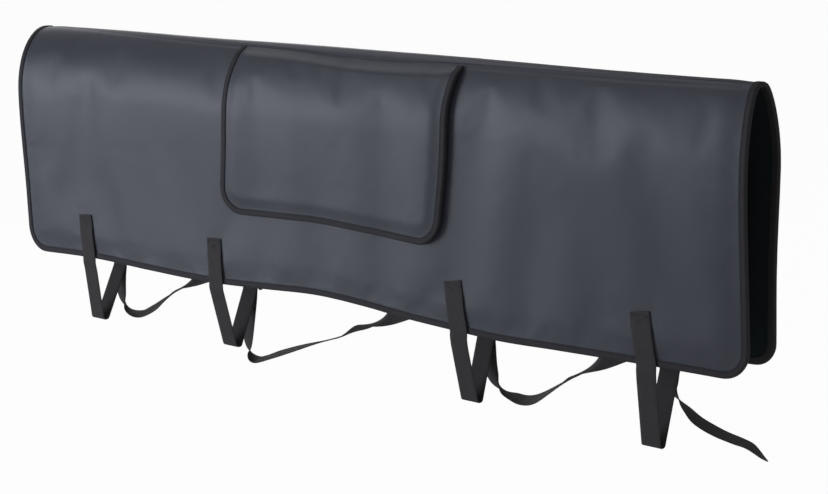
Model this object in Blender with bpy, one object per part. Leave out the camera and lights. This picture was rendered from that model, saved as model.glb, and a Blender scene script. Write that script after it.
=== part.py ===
"""Padded cover that hangs over a pickup tailgate so that bikes can lean on it.

X runs along the tailgate, -Y is the outer side that faces the road, +Y is the
bed side, +Z is up.  The origin lies on the underside of the lining, at the
middle of the flat strip that rests on the top edge of the tailgate.

Every sheet is drawn flat, as it was cut: x across the width, t along the cloth
from the front hem, over the crest, to the rear hem.  fold_point() then bends
the flat cut over one section, at a depth d above the inner face of the lining,
so layers that lie on each other keep their gap wherever they are bent.
"""
from bisect import bisect_right
from math import atan2, ceil, cos, hypot, pi, sin, sqrt, tan

import bmesh
import bpy
from mathutils import Vector

for old_object in list(bpy.data.objects):
    bpy.data.objects.remove(old_object)

# Overall size and the folded section, inner face of the lining
WIDTH = 1.372
FRONT_DROP = 0.3553
REAR_DROP = 0.3520
CROWN_FLAT = 0.008
FRONT_BELLY = 0.0293
FRONT_BELLY_DEPTH = 0.097
FRONT_HEM_OUT = 0.0213
REAR_BELLY = 0.0283
REAR_BELLY_DEPTH = 0.103
REAR_HEM_OUT = 0.0235
FRONT_SHOULDER = 0.008
REAR_SHOULDER = 0.010
BELLY_ROUND = 0.052
HEM_STRAIGHT = 0.085
HEM_LEAN = 0.007
HEM_EASE = 0.070
CORNER_RADIUS = 0.040
TURN_PER_FACET = 7 * pi / 180
LONGEST_FACET = 0.060
CURVE_STEPS = 240

# Layers, from the tailgate outwards
FIT = 0.0003
LINING = 0.0012
FOAM = 0.0060
COVER = 0.0009
TAPE = 0.0008
TAPE_LEG = 0.011

# The seam pinches the foam under the tape, so that both legs lie flush
PINCH_BEYOND_LEG = 0.001
PINCH_RAMP = 0.018

# Window in the front panel that gives a hand the tailgate latch
WINDOW_WIDTH = 0.250
WINDOW_HEIGHT = 0.085
WINDOW_BELOW_CREST = 0.090
WINDOW_RADIUS = 0.020
WINDOW_TAPE_LEG = 0.009

# Padded flap that hangs over the window
FLAP_WIDTH = 0.425
FLAP_DROP = 0.256
FLAP_SEAM_BELOW = 0.010
FLAP_SEAM_DEPTH = 0.010
FLAP_RISE = 0.026
FLAP_RISE_STEPS = 5
FLAP_PINCH = 0.85
FLAP_RADIUS = 0.042
FLAP_LINING = 0.0008
FLAP_FOAM = 0.0050

# Hook and loop strips between the flap and the panel
GRIP = 0.0012
GRIP_WIDTH = 0.025
GRIP_SIDE_LENGTH = 0.090
GRIP_HEM_LENGTH = 0.260
GRIP_IN = 0.018

# Webbing straps that pass under the tailgate
WEB_WIDTH = 0.030
WEB = 0.0015
END_STRAPS_IN = (0.148, 0.153)
MIDDLE_STRAPS_X = (-0.236, 0.230)
LOOP_DEPTH = (0.101, 0.101, 0.109, 0.116)
LOOP_Y = -0.005
LOOP_RADIUS = 0.0045
ANCHOR_TOP = 0.0695
ANCHOR_SEWN = 0.020
STRAP_ROUND = 0.030
STRAP_REST = 0.006

# Ladder buckles on the rear hem
BAR_RADIUS = 0.0020
BAR_PITCH = 0.0092
TURN_SHARE = 0.98
BUCKLE_DROP = 0.0010
RAIL_WIDTH = 0.0036
RAIL_DEPTH = 0.0056
RAIL_OVERHANG = 0.0032
RAIL_BEVEL = 0.0008
TAB_SEWN = 0.022
TAB_CLEAR = 0.006
TAB_WEB = 0.0012

ARC_SEGMENTS = 8
BAR_SEGMENTS = 12
TURN_PER_STRAP_FACET = 18 * pi / 180
SHARP_EDGE = 30 * pi / 180

# Levels or places nearer to each other than this are one and the same
SAME = 1e-6


def smooth_step(value):
    """Ease from 0 to 1 with no corner at either end."""
    value = min(1.0, max(0.0, value))
    return value * value * (3 - 2 * value)


def bezier(start, pull_start, pull_end, end, steps):
    """Points of a cubic curve, without its last point."""
    points = []
    for step in range(steps):
        u = step / steps
        points.append(start * (1 - u) ** 3 + pull_start * 3 * u * (1 - u) ** 2
                      + pull_end * 3 * u * u * (1 - u) + end * u ** 3)
    return points


def half_section(side, belly, belly_depth, hem_out, drop, shoulder):
    """Crown edge to hem on one side, as points (y, z); side is -1 or 1."""
    crown = Vector((side * CROWN_FLAT / 2, 0))
    widest = Vector((side * belly, -belly_depth))
    hem = Vector((side * hem_out, -drop))
    lean = Vector((-side * HEM_LEAN, -1)).normalized()
    hem_top = hem - lean * HEM_STRAIGHT
    points = bezier(crown, crown + Vector((side * shoulder, 0)),
                    widest + Vector((0, BELLY_ROUND)), widest, CURVE_STEPS)
    points += bezier(widest, widest - Vector((0, BELLY_ROUND)),
                     hem_top - lean * HEM_EASE, hem_top, CURVE_STEPS)
    return points + [hem_top, hem]


def folded_section():
    """Facet corners of the section: lists of t, point (y, z) and outward normal."""
    front = half_section(-1, FRONT_BELLY, FRONT_BELLY_DEPTH, FRONT_HEM_OUT, FRONT_DROP,
                         FRONT_SHOULDER)
    rear = half_section(1, REAR_BELLY, REAR_BELLY_DEPTH, REAR_HEM_OUT, REAR_DROP,
                        REAR_SHOULDER)
    curve = front[::-1] + rear
    crown_corners = (len(front) - 1, len(front))
    kept_corners = (0, 1, *crown_corners, len(curve) - 2, len(curve) - 1)
    along, corners, corner_points, normals = 0.0, [], [], []
    last_angle = 0.0
    turned, run = 0.0, 0.0
    for index, point in enumerate(curve):
        before = curve[max(index - 1, 0)]
        after = curve[min(index + 1, len(curve) - 1)]
        if index in crown_corners:
            direction = Vector((1, 0))
        else:
            direction = (after - before).normalized()
        angle = atan2(direction.y, direction.x)
        step = (point - before).length
        along += step
        run += step
        if index:
            turned += abs(angle - last_angle)
        last_angle = angle
        if index in kept_corners or turned > TURN_PER_FACET or run > LONGEST_FACET:
            corners.append(along)
            corner_points.append(point)
            normals.append(Vector((-direction.y, direction.x)))
            turned, run = 0.0, 0.0
    crown = corners[corner_points.index(curve[crown_corners[0]])] + CROWN_FLAT / 2
    return corners, corner_points, normals, crown


FOLD_T, FOLD_POINT, FOLD_NORMAL, CREST_T = folded_section()
CLOTH_LENGTH = FOLD_T[-1]


def fold_point(x, t, d):
    """Where a point of the flat cut lands, d above the inner face of the lining."""
    index = min(max(bisect_right(FOLD_T, t) - 1, 0), len(FOLD_T) - 2)
    share = (t - FOLD_T[index]) / (FOLD_T[index + 1] - FOLD_T[index])
    low = FOLD_POINT[index] + FOLD_NORMAL[index] * d
    high = FOLD_POINT[index + 1] + FOLD_NORMAL[index + 1] * d
    place = low.lerp(high, share)
    return Vector((x, place.x, place.y))


STRAP_X = (END_STRAPS_IN[0] - WIDTH / 2, *MIDDLE_STRAPS_X, WIDTH / 2 - END_STRAPS_IN[1])
LINING_D = (0.0, LINING)
FOAM_D = (LINING + FIT, LINING + FIT + FOAM)
COVER_D = (FOAM_D[1] + FIT, FOAM_D[1] + FIT + COVER)
STACK = COVER_D[1]
LINING_SEAT = TAPE + 2 * FIT
COVER_SINK = TAPE + FIT
PINCH_INSETS = (TAPE_LEG + PINCH_BEYOND_LEG, TAPE_LEG + PINCH_BEYOND_LEG + PINCH_RAMP)
LOOP_D = (STACK + FIT, STACK + FIT + GRIP)
HOOK_D = (LOOP_D[1] + FIT, LOOP_D[1] + FIT + GRIP)
FLAP_LINING_D = (HOOK_D[1] + FIT, HOOK_D[1] + FIT + FLAP_LINING)
FLAP_FOAM_D = (FLAP_LINING_D[1] + FIT, FLAP_LINING_D[1] + FIT + FLAP_FOAM)
FLAP_COVER_D = (FLAP_FOAM_D[1] + FIT, FLAP_FOAM_D[1] + FIT + COVER)


class Cut:
    """A flat cut with straight sides: rounded at its low end, and at its high end.

    Creases are the levels where the layer bends more than the fold itself does.
    """

    def __init__(self, width, low, high, low_radius, high_radius, middle=0.0, creases=()):
        self.half = width / 2
        self.low, self.high = low, high
        self.low_radius, self.high_radius = low_radius, high_radius
        self.middle = middle
        self.creases = list(creases)

    def levels(self):
        """Every t at which the side of the cut has a corner of its own."""
        angles = [step * pi / 2 / ARC_SEGMENTS for step in range(ARC_SEGMENTS + 1)]
        low = [self.low + self.low_radius * (1 - cos(a)) for a in angles]
        high = [self.high - self.high_radius * (1 - cos(a)) for a in angles]
        return low + high + self.creases

    def half_at(self, t):
        """Half the width of the cut at t; beyond its ends, that of the end."""
        half = self.half
        for up, radius in ((t - self.low, self.low_radius), (self.high - t, self.high_radius)):
            short = min(radius, max(0.0, radius - up))
            half = min(half, self.half - radius + sqrt(radius ** 2 - short ** 2))
        return half

    def inset(self, by):
        """The cut's contour a little further in."""
        return Cut(2 * (self.half - by), self.low + by, self.high - by,
                   max(0.0, self.low_radius - by), max(0.0, self.high_radius - by), self.middle)

    def inset_of(self, x, t):
        """How far a point lies inside the outline."""
        side = self.half - abs(x - self.middle)
        inset = side
        for up, radius in ((t - self.low, self.low_radius), (self.high - t, self.high_radius)):
            if max(up, side) < radius:
                inset = min(inset, radius - hypot(radius - up, radius - side))
            inset = min(inset, up)
        return inset

    def sides(self, t):
        return self.middle - self.half_at(t), self.middle + self.half_at(t)

    def spans(self, t):
        return self.low - SAME <= t <= self.high + SAME

    def right_side(self):
        """Points up the +x side, from the low end to the high end."""
        inner = [t for t in FOLD_T if self.low + SAME < t < self.high - SAME]
        levels = merge_levels(self.levels() + inner)
        return [(self.sides(t)[1], t) for t in levels]

    def loop(self):
        """The whole outline, counter-clockwise as seen from outside."""
        right = self.right_side()
        left = [(2 * self.middle - x, t) for x, t in reversed(right)]
        return right + left


def merge_levels(levels):
    """Sorted levels, with those that stand for the same one kept once."""
    merged = []
    for level in sorted(levels):
        if not merged or level - merged[-1] > SAME:
            merged.append(level)
    return merged


def make_object(name, vertices, faces, material):
    """One closed solid from vertices and faces."""
    mesh = bpy.data.meshes.new(name)
    mesh.from_pydata([tuple(vertex) for vertex in vertices], [], faces)
    solid = bmesh.new()
    solid.from_mesh(mesh)
    bmesh.ops.recalc_face_normals(solid, faces=solid.faces)
    solid.to_mesh(mesh)
    solid.free()
    mesh.shade_smooth()
    mesh.set_sharp_from_angle(angle=SHARP_EDGE)
    mesh.materials.append(material)
    made = bpy.data.objects.new(name, mesh)
    bpy.context.collection.objects.link(made)
    return made


def make_sheet(name, cut, depths, material, window=None, rims=(), bend=fold_point):
    """A layer of cloth or foam, cut flat, with a wall all round, then bent.

    Rims are contours inside the cut on which the layer has corners of its own.
    """
    levels = cut.levels() + [t for t in FOLD_T if cut.low < t < cut.high]
    if window:
        levels += window.levels()
    contours = [cut, *rims]
    flat, number = [], {}

    def corner(x, t):
        key = (round(x / SAME), round(t / SAME))
        if key not in number:
            number[key] = len(flat)
            flat.append((x, t))
        return number[key]

    def row(t):
        """Corners across the cut at t: left half from the edge in, right half from the edge in."""
        rings = contours + [window] if window and window.spans(t) else contours
        return [[corner(ring.sides(t)[side], t) for ring in rings] for side in (0, 1)]

    cells = []
    rows = [(t, row(t)) for t in merge_levels(levels)]
    inner = len(contours) - 1
    for (low_t, low), (high_t, high) in zip(rows, rows[1:]):
        for ring in range(inner + (1 if window and window.spans((low_t + high_t) / 2) else 0)):
            for side, way in ((0, 1), (1, -1)):
                cell = [low[side][ring], low[side][ring + 1], high[side][ring + 1],
                        high[side][ring]]
                cells.append(cell[::way])
        if not (window and window.spans((low_t + high_t) / 2)):
            cells.append(low[0][inner:] + low[1][inner:][::-1]
                         + high[1][inner:] + high[0][inner:][::-1])
    count = len(flat)
    vertices = [bend(x, t, depths[0]) for x, t in flat]
    vertices += [bend(x, t, depths[1]) for x, t in flat]
    faces, edges = [], set()
    for cell in cells:
        cell = [index for place, index in enumerate(cell) if index != cell[place - 1]]
        halves = [cell] if len(cell) != 4 else [cell[:3], [cell[2], cell[3], cell[0]]]
        for half in halves:
            if len(half) > 2:
                faces.append([index + count for index in half])
                faces.append(half[::-1])
        edges.update(zip(cell, cell[1:] + cell[:1]))
    for start, end in edges:
        if (end, start) not in edges:
            faces.append([start, end, end + count, start + count])
    return make_object(name, vertices, faces, material)


def make_binding(name, path, closed, depths, leg, material, bend=fold_point):
    """Tape folded over the edge of a stack of layers, along a path on the flat cut.

    The path runs with the cloth on its left.  One leg lies below the lesser of
    the two depths and the other above the greater.  Each ring is the section
    of the folded tape: outer leg, the wall round the edge, and inner leg.
    """
    under, over = depths
    ring = [(leg, over + TAPE), (-FIT, over + TAPE), (-FIT - TAPE, over),
            (-FIT - TAPE, under), (-FIT, under - TAPE), (leg, under - TAPE),
            (leg, under), (-FIT, under), (-FIT, over), (leg, over)]
    vertices, faces = [], []
    for index, (x, t) in enumerate(path):
        here = Vector((x, t))
        before = Vector(path[index - 1]) if closed or index else None
        after = Vector(path[(index + 1) % len(path)]) if closed or index < len(path) - 1 else None
        ways = []
        if before:
            ways.append((here - before).normalized())
        if after:
            ways.append((after - here).normalized())
        inward = sum((Vector((-way.y, way.x)) for way in ways), Vector((0, 0)))
        inward.normalize()
        inward /= inward.dot(Vector((-ways[0].y, ways[0].x)))
        for inset, d in ring:
            place = here + inward * inset
            vertices.append(bend(place.x, place.y, d))
    size = len(ring)
    for index in range(len(path) if closed else len(path) - 1):
        low, high = index * size, (index + 1) % len(path) * size
        for side in range(size):
            after_side = (side + 1) % size
            faces.append([low + side, high + side, high + after_side, low + after_side])
    if not closed:
        faces.append(list(range(size)))
        faces.append(list(range(len(vertices) - size, len(vertices)))[::-1])
    return make_object(name, vertices, faces, material)


def rounded_path(points, radii):
    """A path through points (y, z), with an arc of the given radius at each turn."""
    path = [points[0]]
    for index in range(1, len(points) - 1):
        here = points[index]
        back = (points[index - 1] - here).normalized()
        ahead = (points[index + 1] - here).normalized()
        turn = pi - back.angle(ahead)
        if turn < SAME:
            path.append(here)
            continue
        reach = radii[index - 1] * tan(turn / 2)
        centre = here + (back + ahead).normalized() * radii[index - 1] / cos(turn / 2)
        steps = ceil(turn / TURN_PER_STRAP_FACET) + 1
        from_centre = here + back * reach - centre
        to_centre = here + ahead * reach - centre
        for step in range(steps + 1):
            share = step / steps
            sweep = (from_centre * sin((1 - share) * turn) + to_centre * sin(share * turn))
            path.append(centre + sweep / sin(turn))
    path.append(points[-1])
    return path


def make_ribbon(name, stations, thickness, material):
    """Webbing swept along stations (centre, unit vector across its width)."""
    vertices, faces = [], []
    for index, (centre, across) in enumerate(stations):
        before = stations[max(index - 1, 0)][0]
        after = stations[min(index + 1, len(stations) - 1)][0]
        along = (after - before).normalized()
        across = (across - along * across.dot(along)).normalized()
        out = along.cross(across)
        for wide, high in ((-1, -1), (1, -1), (1, 1), (-1, 1)):
            vertices.append(centre + across * wide * WEB_WIDTH / 2 + out * high * thickness / 2)
    for index in range(len(stations) - 1):
        low, high = index * 4, index * 4 + 4
        for side in range(4):
            after_side = (side + 1) % 4
            faces.append([low + side, high + side, high + after_side, low + after_side])
    faces.append([0, 1, 2, 3])
    faces.append([len(vertices) - corner for corner in (1, 2, 3, 4)])
    return make_object(name, vertices, faces, material)


def plain_material(name, colour, roughness):
    """A Principled material; the colour is linear."""
    material = bpy.data.materials.new(name)
    material.use_nodes = True
    shader = material.node_tree.nodes["Principled BSDF"]
    shader.inputs["Base Color"].default_value = (*colour, 1.0)
    shader.inputs["Roughness"].default_value = roughness
    return material


COATED_CLOTH = plain_material("coated_cloth", (0.100, 0.107, 0.125), 0.42)
FLEECE = plain_material("fleece", (0.006, 0.008, 0.008), 0.95)
PAD_FOAM = plain_material("pad_foam", (0.030, 0.030, 0.032), 0.90)
BINDING_TAPE = plain_material("binding_tape", (0.022, 0.021, 0.023), 0.60)
WEBBING = plain_material("webbing", (0.035, 0.033, 0.034), 0.75)
GRIP_TAPE = plain_material("grip_tape", (0.012, 0.012, 0.013), 0.85)
BUCKLE_PLASTIC = plain_material("buckle_plastic", (0.015, 0.015, 0.016), 0.40)


def make_panel():
    """Cover, foam and lining, cut alike, and the tape round all of them."""
    edge = FIT + TAPE
    low, high = edge, CLOTH_LENGTH - edge
    creases = [low + inset for inset in PINCH_INSETS] + [high - inset for inset in PINCH_INSETS]
    cut = Cut(WIDTH - 2 * edge, low, high, CORNER_RADIUS, CORNER_RADIUS, creases=creases)
    rims = [cut.inset(inset) for inset in PINCH_INSETS]
    top = CREST_T - WINDOW_BELOW_CREST
    window = Cut(WINDOW_WIDTH, top - WINDOW_HEIGHT, top, WINDOW_RADIUS, WINDOW_RADIUS)

    def pinched_point(x, t, d):
        """fold_point() for the panel, whose layers draw together under the tape."""
        share = (PINCH_INSETS[1] - cut.inset_of(x, t)) / PINCH_RAMP
        share = min(1.0, max(0.0, share))
        shift = LINING_SEAT if d < FOAM_D[1] else -COVER_SINK
        return fold_point(x, t, d + shift * share)

    make_sheet("outer_cover", cut, COVER_D, COATED_CLOTH, window, rims, pinched_point)
    make_sheet("foam_core", cut, FOAM_D, PAD_FOAM, window, rims, pinched_point)
    make_sheet("lining", cut, LINING_D, FLEECE, window, rims, pinched_point)
    make_binding("edge_binding", cut.loop(), True, (LINING_SEAT - FIT, STACK - COVER_SINK + FIT),
                 TAPE_LEG, BINDING_TAPE)
    make_binding("window_binding", window.loop()[::-1], True, (-FIT, STACK + FIT),
                 WINDOW_TAPE_LEG, BINDING_TAPE)


def flap_point(x, t, d):
    """fold_point() for the flap: at its seam the foam is pinched and all is pressed down."""
    seam = CREST_T - FLAP_SEAM_BELOW
    pressed = 1 - smooth_step((seam - FLAP_SEAM_DEPTH - t) / FLAP_RISE)
    lift = FLAP_LINING_D[0] - STACK - 2 * FIT - TAPE
    foam_below = min(1.0, max(0.0, (d - FLAP_FOAM_D[0]) / FLAP_FOAM))
    pinch = FLAP_FOAM * FLAP_PINCH * foam_below
    return fold_point(x, t, d - (lift + pinch) * pressed)


def make_flap():
    """Flap of cover, foam and lining, with tape on its three free sides."""
    edge = FIT + TAPE
    seam = CREST_T - FLAP_SEAM_BELOW
    hem = CREST_T - FLAP_DROP
    creases = [seam - FLAP_SEAM_DEPTH - FLAP_RISE * step / FLAP_RISE_STEPS
               for step in range(FLAP_RISE_STEPS + 1)]
    cut = Cut(FLAP_WIDTH - 2 * edge, hem + edge, seam, FLAP_RADIUS, 0, creases=creases)
    make_sheet("flap_cover", cut, FLAP_COVER_D, COATED_CLOTH, bend=flap_point)
    make_sheet("flap_foam", cut, FLAP_FOAM_D, PAD_FOAM, bend=flap_point)
    make_sheet("flap_lining", cut, FLAP_LINING_D, FLEECE, bend=flap_point)
    right = cut.right_side()
    left = [(-x, t) for x, t in right[::-1]]
    make_binding("flap_binding", left + right, False,
                 (FLAP_LINING_D[0] - FIT, FLAP_COVER_D[1] + FIT), TAPE_LEG, BINDING_TAPE,
                 bend=flap_point)


def make_grip_strips():
    """Loop strips on the panel and hook strips on the flap, face to face."""
    hem = CREST_T - FLAP_DROP
    low = hem + TAPE_LEG + GRIP_IN
    side = FLAP_WIDTH / 2 - TAPE_LEG - GRIP_IN
    side_low = low + GRIP_WIDTH + GRIP_IN
    cuts = {
        "hem": Cut(GRIP_HEM_LENGTH, low, low + GRIP_WIDTH, 0, 0),
        "left": Cut(GRIP_WIDTH, side_low, side_low + GRIP_SIDE_LENGTH, 0, 0, -side),
        "right": Cut(GRIP_WIDTH, side_low, side_low + GRIP_SIDE_LENGTH, 0, 0, side),
    }
    for place, cut in cuts.items():
        make_sheet("loop_strip_" + place, cut, LOOP_D, GRIP_TAPE)
        make_sheet("hook_strip_" + place, cut, HOOK_D, GRIP_TAPE)


# Places round the rear hem that the strap, the buckle and its tab share
REAR_HEM = fold_point(0, CLOTH_LENGTH, STACK)
LOADED_Y = REAR_HEM.y + FIT + WEB / 2
TAIL_Y = LOADED_Y + WEB + FIT
BAR_Y = TAIL_Y + WEB / 2 + FIT + BAR_RADIUS
TOP_BAR_Z = -REAR_DROP - BUCKLE_DROP
GRIP_BAR_Z = TOP_BAR_Z - BAR_PITCH
LOW_BAR_Z = GRIP_BAR_Z - BAR_PITCH
WRAP = BAR_RADIUS + FIT + WEB / 2
TAIL_TOP_Z = LOW_BAR_Z - BAR_RADIUS


def fold_yz(t, d):
    """fold_point() as a point (y, z)."""
    place = fold_point(0, t, d)
    return Vector((place.y, place.z))


def strap_loop(loop_depth):
    """Strap from its sewn anchor, round under the tailgate, to below its buckle."""
    sewn = STACK + FIT + WEB / 2
    bottom = Vector((LOOP_Y, -FRONT_DROP - loop_depth))
    points = [fold_yz(ANCHOR_TOP, sewn),
              fold_yz(ANCHOR_TOP - ANCHOR_SEWN, sewn),
              fold_yz(-STRAP_REST, sewn),
              bottom - Vector((LOOP_RADIUS, 0)),
              bottom + Vector((LOOP_RADIUS, 0)),
              Vector((LOADED_Y, LOW_BAR_Z - 2 * BAR_RADIUS)),
              Vector((LOADED_Y, GRIP_BAR_Z + WRAP)),
              Vector((BAR_Y + WRAP, GRIP_BAR_Z + WRAP)),
              Vector((BAR_Y + WRAP, GRIP_BAR_Z - WRAP)),
              Vector((TAIL_Y, GRIP_BAR_Z - WRAP)),
              Vector((TAIL_Y, TAIL_TOP_Z))]
    radii = [STRAP_ROUND, STRAP_ROUND, LOOP_RADIUS, LOOP_RADIUS, STRAP_REST,
             WRAP, WRAP * TURN_SHARE, WRAP * TURN_SHARE, BAR_RADIUS]
    return rounded_path(points, radii)


# Free ends, from below the buckle on: place beside the strap, behind it and above
# the buckle's lowest bar, then how far the webbing's right edge is turned from +X
# towards the outer side, and how far that edge is lowered, both in degrees
TAILS = (
    ((-0.003, 0.001, -0.013, 0, 0), (-0.005, 0.003, -0.036, 4, 0), (-0.003, 0.005, -0.056, 14, 0),
     (0.010, 0.006, -0.070, 34, 0), (0.033, 0.004, -0.074, 62, 2), (0.061, 0.001, -0.067, 84, 28),
     (0.099, -0.004, -0.049, 88, 46), (0.133, -0.009, -0.030, 88, 44),
     (0.160, -0.013, -0.018, 88, 44), (0.184, -0.0151, -0.006, 89, 72),
     (0.208, -0.0156, 0.004, 90, 89), (0.238, -0.0156, 0.014, 90, 90)),
    ((-0.003, 0.001, -0.020, 0, 0), (-0.010, 0.003, -0.061, 4, 0), (-0.012, 0.005, -0.090, 20, 0),
     (-0.004, 0.006, -0.104, 46, 0), (0.015, 0.004, -0.107, 74, 3), (0.052, 0.001, -0.093, 88, 13),
     (0.107, -0.002, -0.073, 90, 15), (0.174, -0.007, -0.051, 90, 15),
     (0.213, -0.010, -0.038, 90, 34), (0.247, -0.011, -0.024, 90, 22),
     (0.280, -0.0139, -0.013, 90, 54), (0.309, -0.0156, 0.000, 90, 88),
     (0.340, -0.0156, 0.012, 90, 90)),
    ((0.001, 0.001, -0.016, 0, 0), (0.003, 0.003, -0.042, 3, 0), (0.010, 0.005, -0.063, 14, 0),
     (0.025, 0.006, -0.075, 34, 0), (0.046, 0.004, -0.080, 60, 2), (0.067, 0.002, -0.081, 80, 12),
     (0.091, -0.001, -0.074, 88, 28), (0.125, -0.006, -0.054, 88, 34),
     (0.160, -0.011, -0.034, 88, 36), (0.187, -0.0137, -0.020, 88, 58),
     (0.216, -0.0156, -0.004, 90, 88), (0.246, -0.0156, 0.010, 90, 90)),
    ((-0.002, 0.001, -0.008, 0, 0), (-0.001, 0.004, -0.027, 20, 0), (0.010, 0.007, -0.043, 46, 0),
     (0.022, 0.008, -0.054, 66, 0), (0.037, 0.008, -0.065, 80, 0), (0.056, 0.007, -0.072, 88, 0),
     (0.076, 0.006, -0.077, 88, 0), (0.101, 0.005, -0.081, 84, 0),
     (0.120, 0.004, -0.085, 76, -4), (0.141, 0.003, -0.097, 60, -10)),
)
TAIL_STEPS = 4


def smooth_route(points):
    """A smooth curve through the places of a tail, TAIL_STEPS to each stretch."""
    padded = [points[0] * 2 - points[1]] + points + [points[-1] * 2 - points[-2]]
    route = []
    for before, start, end, after in zip(padded, padded[1:], padded[2:], padded[3:]):
        for step in range(TAIL_STEPS):
            u = step / TAIL_STEPS
            route.append((start * 2 + (end - before) * u
                          + (before * 2 - start * 5 + end * 4 - after) * u * u
                          + (start * 3 - before - end * 3 + after) * u ** 3) / 2)
    return route + [points[-1]]


def make_strap(index):
    """One continuous strap: sewn anchor, loop, buckle and free end."""
    x = STRAP_X[index]
    level = Vector((1, 0, 0))
    loop = [(Vector((x, point.x, point.y)), level) for point in strap_loop(LOOP_DEPTH[index])]
    start = Vector((0, 0, 0, 0, 0))
    tail = []
    for place in smooth_route([start] + [Vector(point) for point in TAILS[index]])[1:]:
        centre = Vector((x + place[0], TAIL_Y + place[1], TAIL_TOP_Z + place[2]))
        turned, lowered = place[3] * pi / 180, place[4] * pi / 180
        across = Vector((cos(turned) * cos(lowered), -sin(turned) * cos(lowered), -sin(lowered)))
        tail.append((centre, across))
    make_ribbon("strap_%d" % (index + 1), loop + tail, WEB, WEBBING)


def make_bar(x, z, length):
    """Round bar of a buckle, along X."""
    shape = bmesh.new()
    bmesh.ops.create_cone(shape, cap_ends=True, segments=BAR_SEGMENTS, radius1=BAR_RADIUS,
                          radius2=BAR_RADIUS, depth=length)
    for vertex in shape.verts:
        vertex.co = Vector((x + vertex.co.z, BAR_Y + vertex.co.x, z + vertex.co.y))
    return shape


def make_buckle(index):
    """Ladder buckle: two side rails joined by three bars."""
    x = STRAP_X[index]
    inner_half = WEB_WIDTH / 2 + 2 * FIT
    name = "buckle_%d" % (index + 1)
    top, low = TOP_BAR_Z + RAIL_OVERHANG, LOW_BAR_Z - RAIL_OVERHANG
    vertices, faces = [], []
    for side in (-1, 1):
        start = len(vertices)
        near, far = x + side * inner_half, x + side * (inner_half + RAIL_WIDTH)
        front, back = BAR_Y - BAR_RADIUS, BAR_Y - BAR_RADIUS + RAIL_DEPTH
        for z in (low, top):
            vertices += [(near, front, z), (far, front, z), (far, back, z), (near, back, z)]
        for corners in ((0, 1, 2, 3), (4, 5, 6, 7), (0, 1, 5, 4), (1, 2, 6, 5), (2, 3, 7, 6),
                        (3, 0, 4, 7)):
            faces.append([start + corner for corner in corners])
    rails = make_object(name, vertices, faces, BUCKLE_PLASTIC)
    bevel = rails.modifiers.new("rounded_edges", "BEVEL")
    bevel.width = RAIL_BEVEL
    bevel.segments = 2
    for z in (TOP_BAR_Z, GRIP_BAR_Z, LOW_BAR_Z):
        bar_mesh = bpy.data.meshes.new("bar")
        bar_shape = make_bar(x, z, 2 * inner_half + RAIL_WIDTH)
        bar_shape.to_mesh(bar_mesh)
        bar_shape.free()
        bar = bpy.data.objects.new(name + "_bar_cutter", bar_mesh)
        bpy.context.collection.objects.link(bar)
        bar.hide_render = True
        bar.display_type = "WIRE"
        union = rails.modifiers.new("bar", "BOOLEAN")
        union.operation = "UNION"
        union.solver = "EXACT"
        union.object = bar


def make_tab(index):
    """Short webbing loop that holds a buckle by its top bar to the rear panel."""
    x = STRAP_X[index]
    sewn = STACK + FIT + TAB_WEB / 2
    doubled = TAB_WEB + FIT
    wrap = BAR_RADIUS + FIT + TAB_WEB / 2
    turn_z = TOP_BAR_Z + 2 * BAR_RADIUS
    tape_top = CLOTH_LENGTH - FIT - TAPE - TAPE_LEG
    low = tape_top - TAB_CLEAR
    top = low - TAB_SEWN
    points = [fold_yz(top, sewn), fold_yz(low, sewn),
              Vector((BAR_Y - wrap, turn_z)), Vector((BAR_Y - wrap, TOP_BAR_Z - wrap)),
              Vector((BAR_Y + wrap, TOP_BAR_Z - wrap)), Vector((BAR_Y + wrap, turn_z)),
              fold_yz(low, sewn + doubled),
              fold_yz(top, sewn + doubled)]
    turn = wrap * TURN_SHARE
    radii = [TAPE_LEG, BAR_RADIUS, turn, turn, BAR_RADIUS, TAPE_LEG]
    path = rounded_path(points, radii)
    level = Vector((1, 0, 0))
    stations = [(Vector((x, point.x, point.y)), level) for point in path]
    make_ribbon("buckle_tab_%d" % (index + 1), stations, TAB_WEB, WEBBING)


make_panel()
make_flap()
make_grip_strips()
for strap_index in range(len(STRAP_X)):
    make_strap(strap_index)
    make_buckle(strap_index)
    make_tab(strap_index)
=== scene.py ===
# %% [markdown]
# # A padded cover that hangs over a tailgate
#
# The real object is a flat sandwich of coated cloth, foam and fleece.  Tape
# binds its edge, a padded flap covers a hand window, and webbing straps hold
# it under the tailgate.  The frame gives every piece its size and place as a
# straight, unwrinkled solid.  This script makes the same pieces as they hang.

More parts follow.
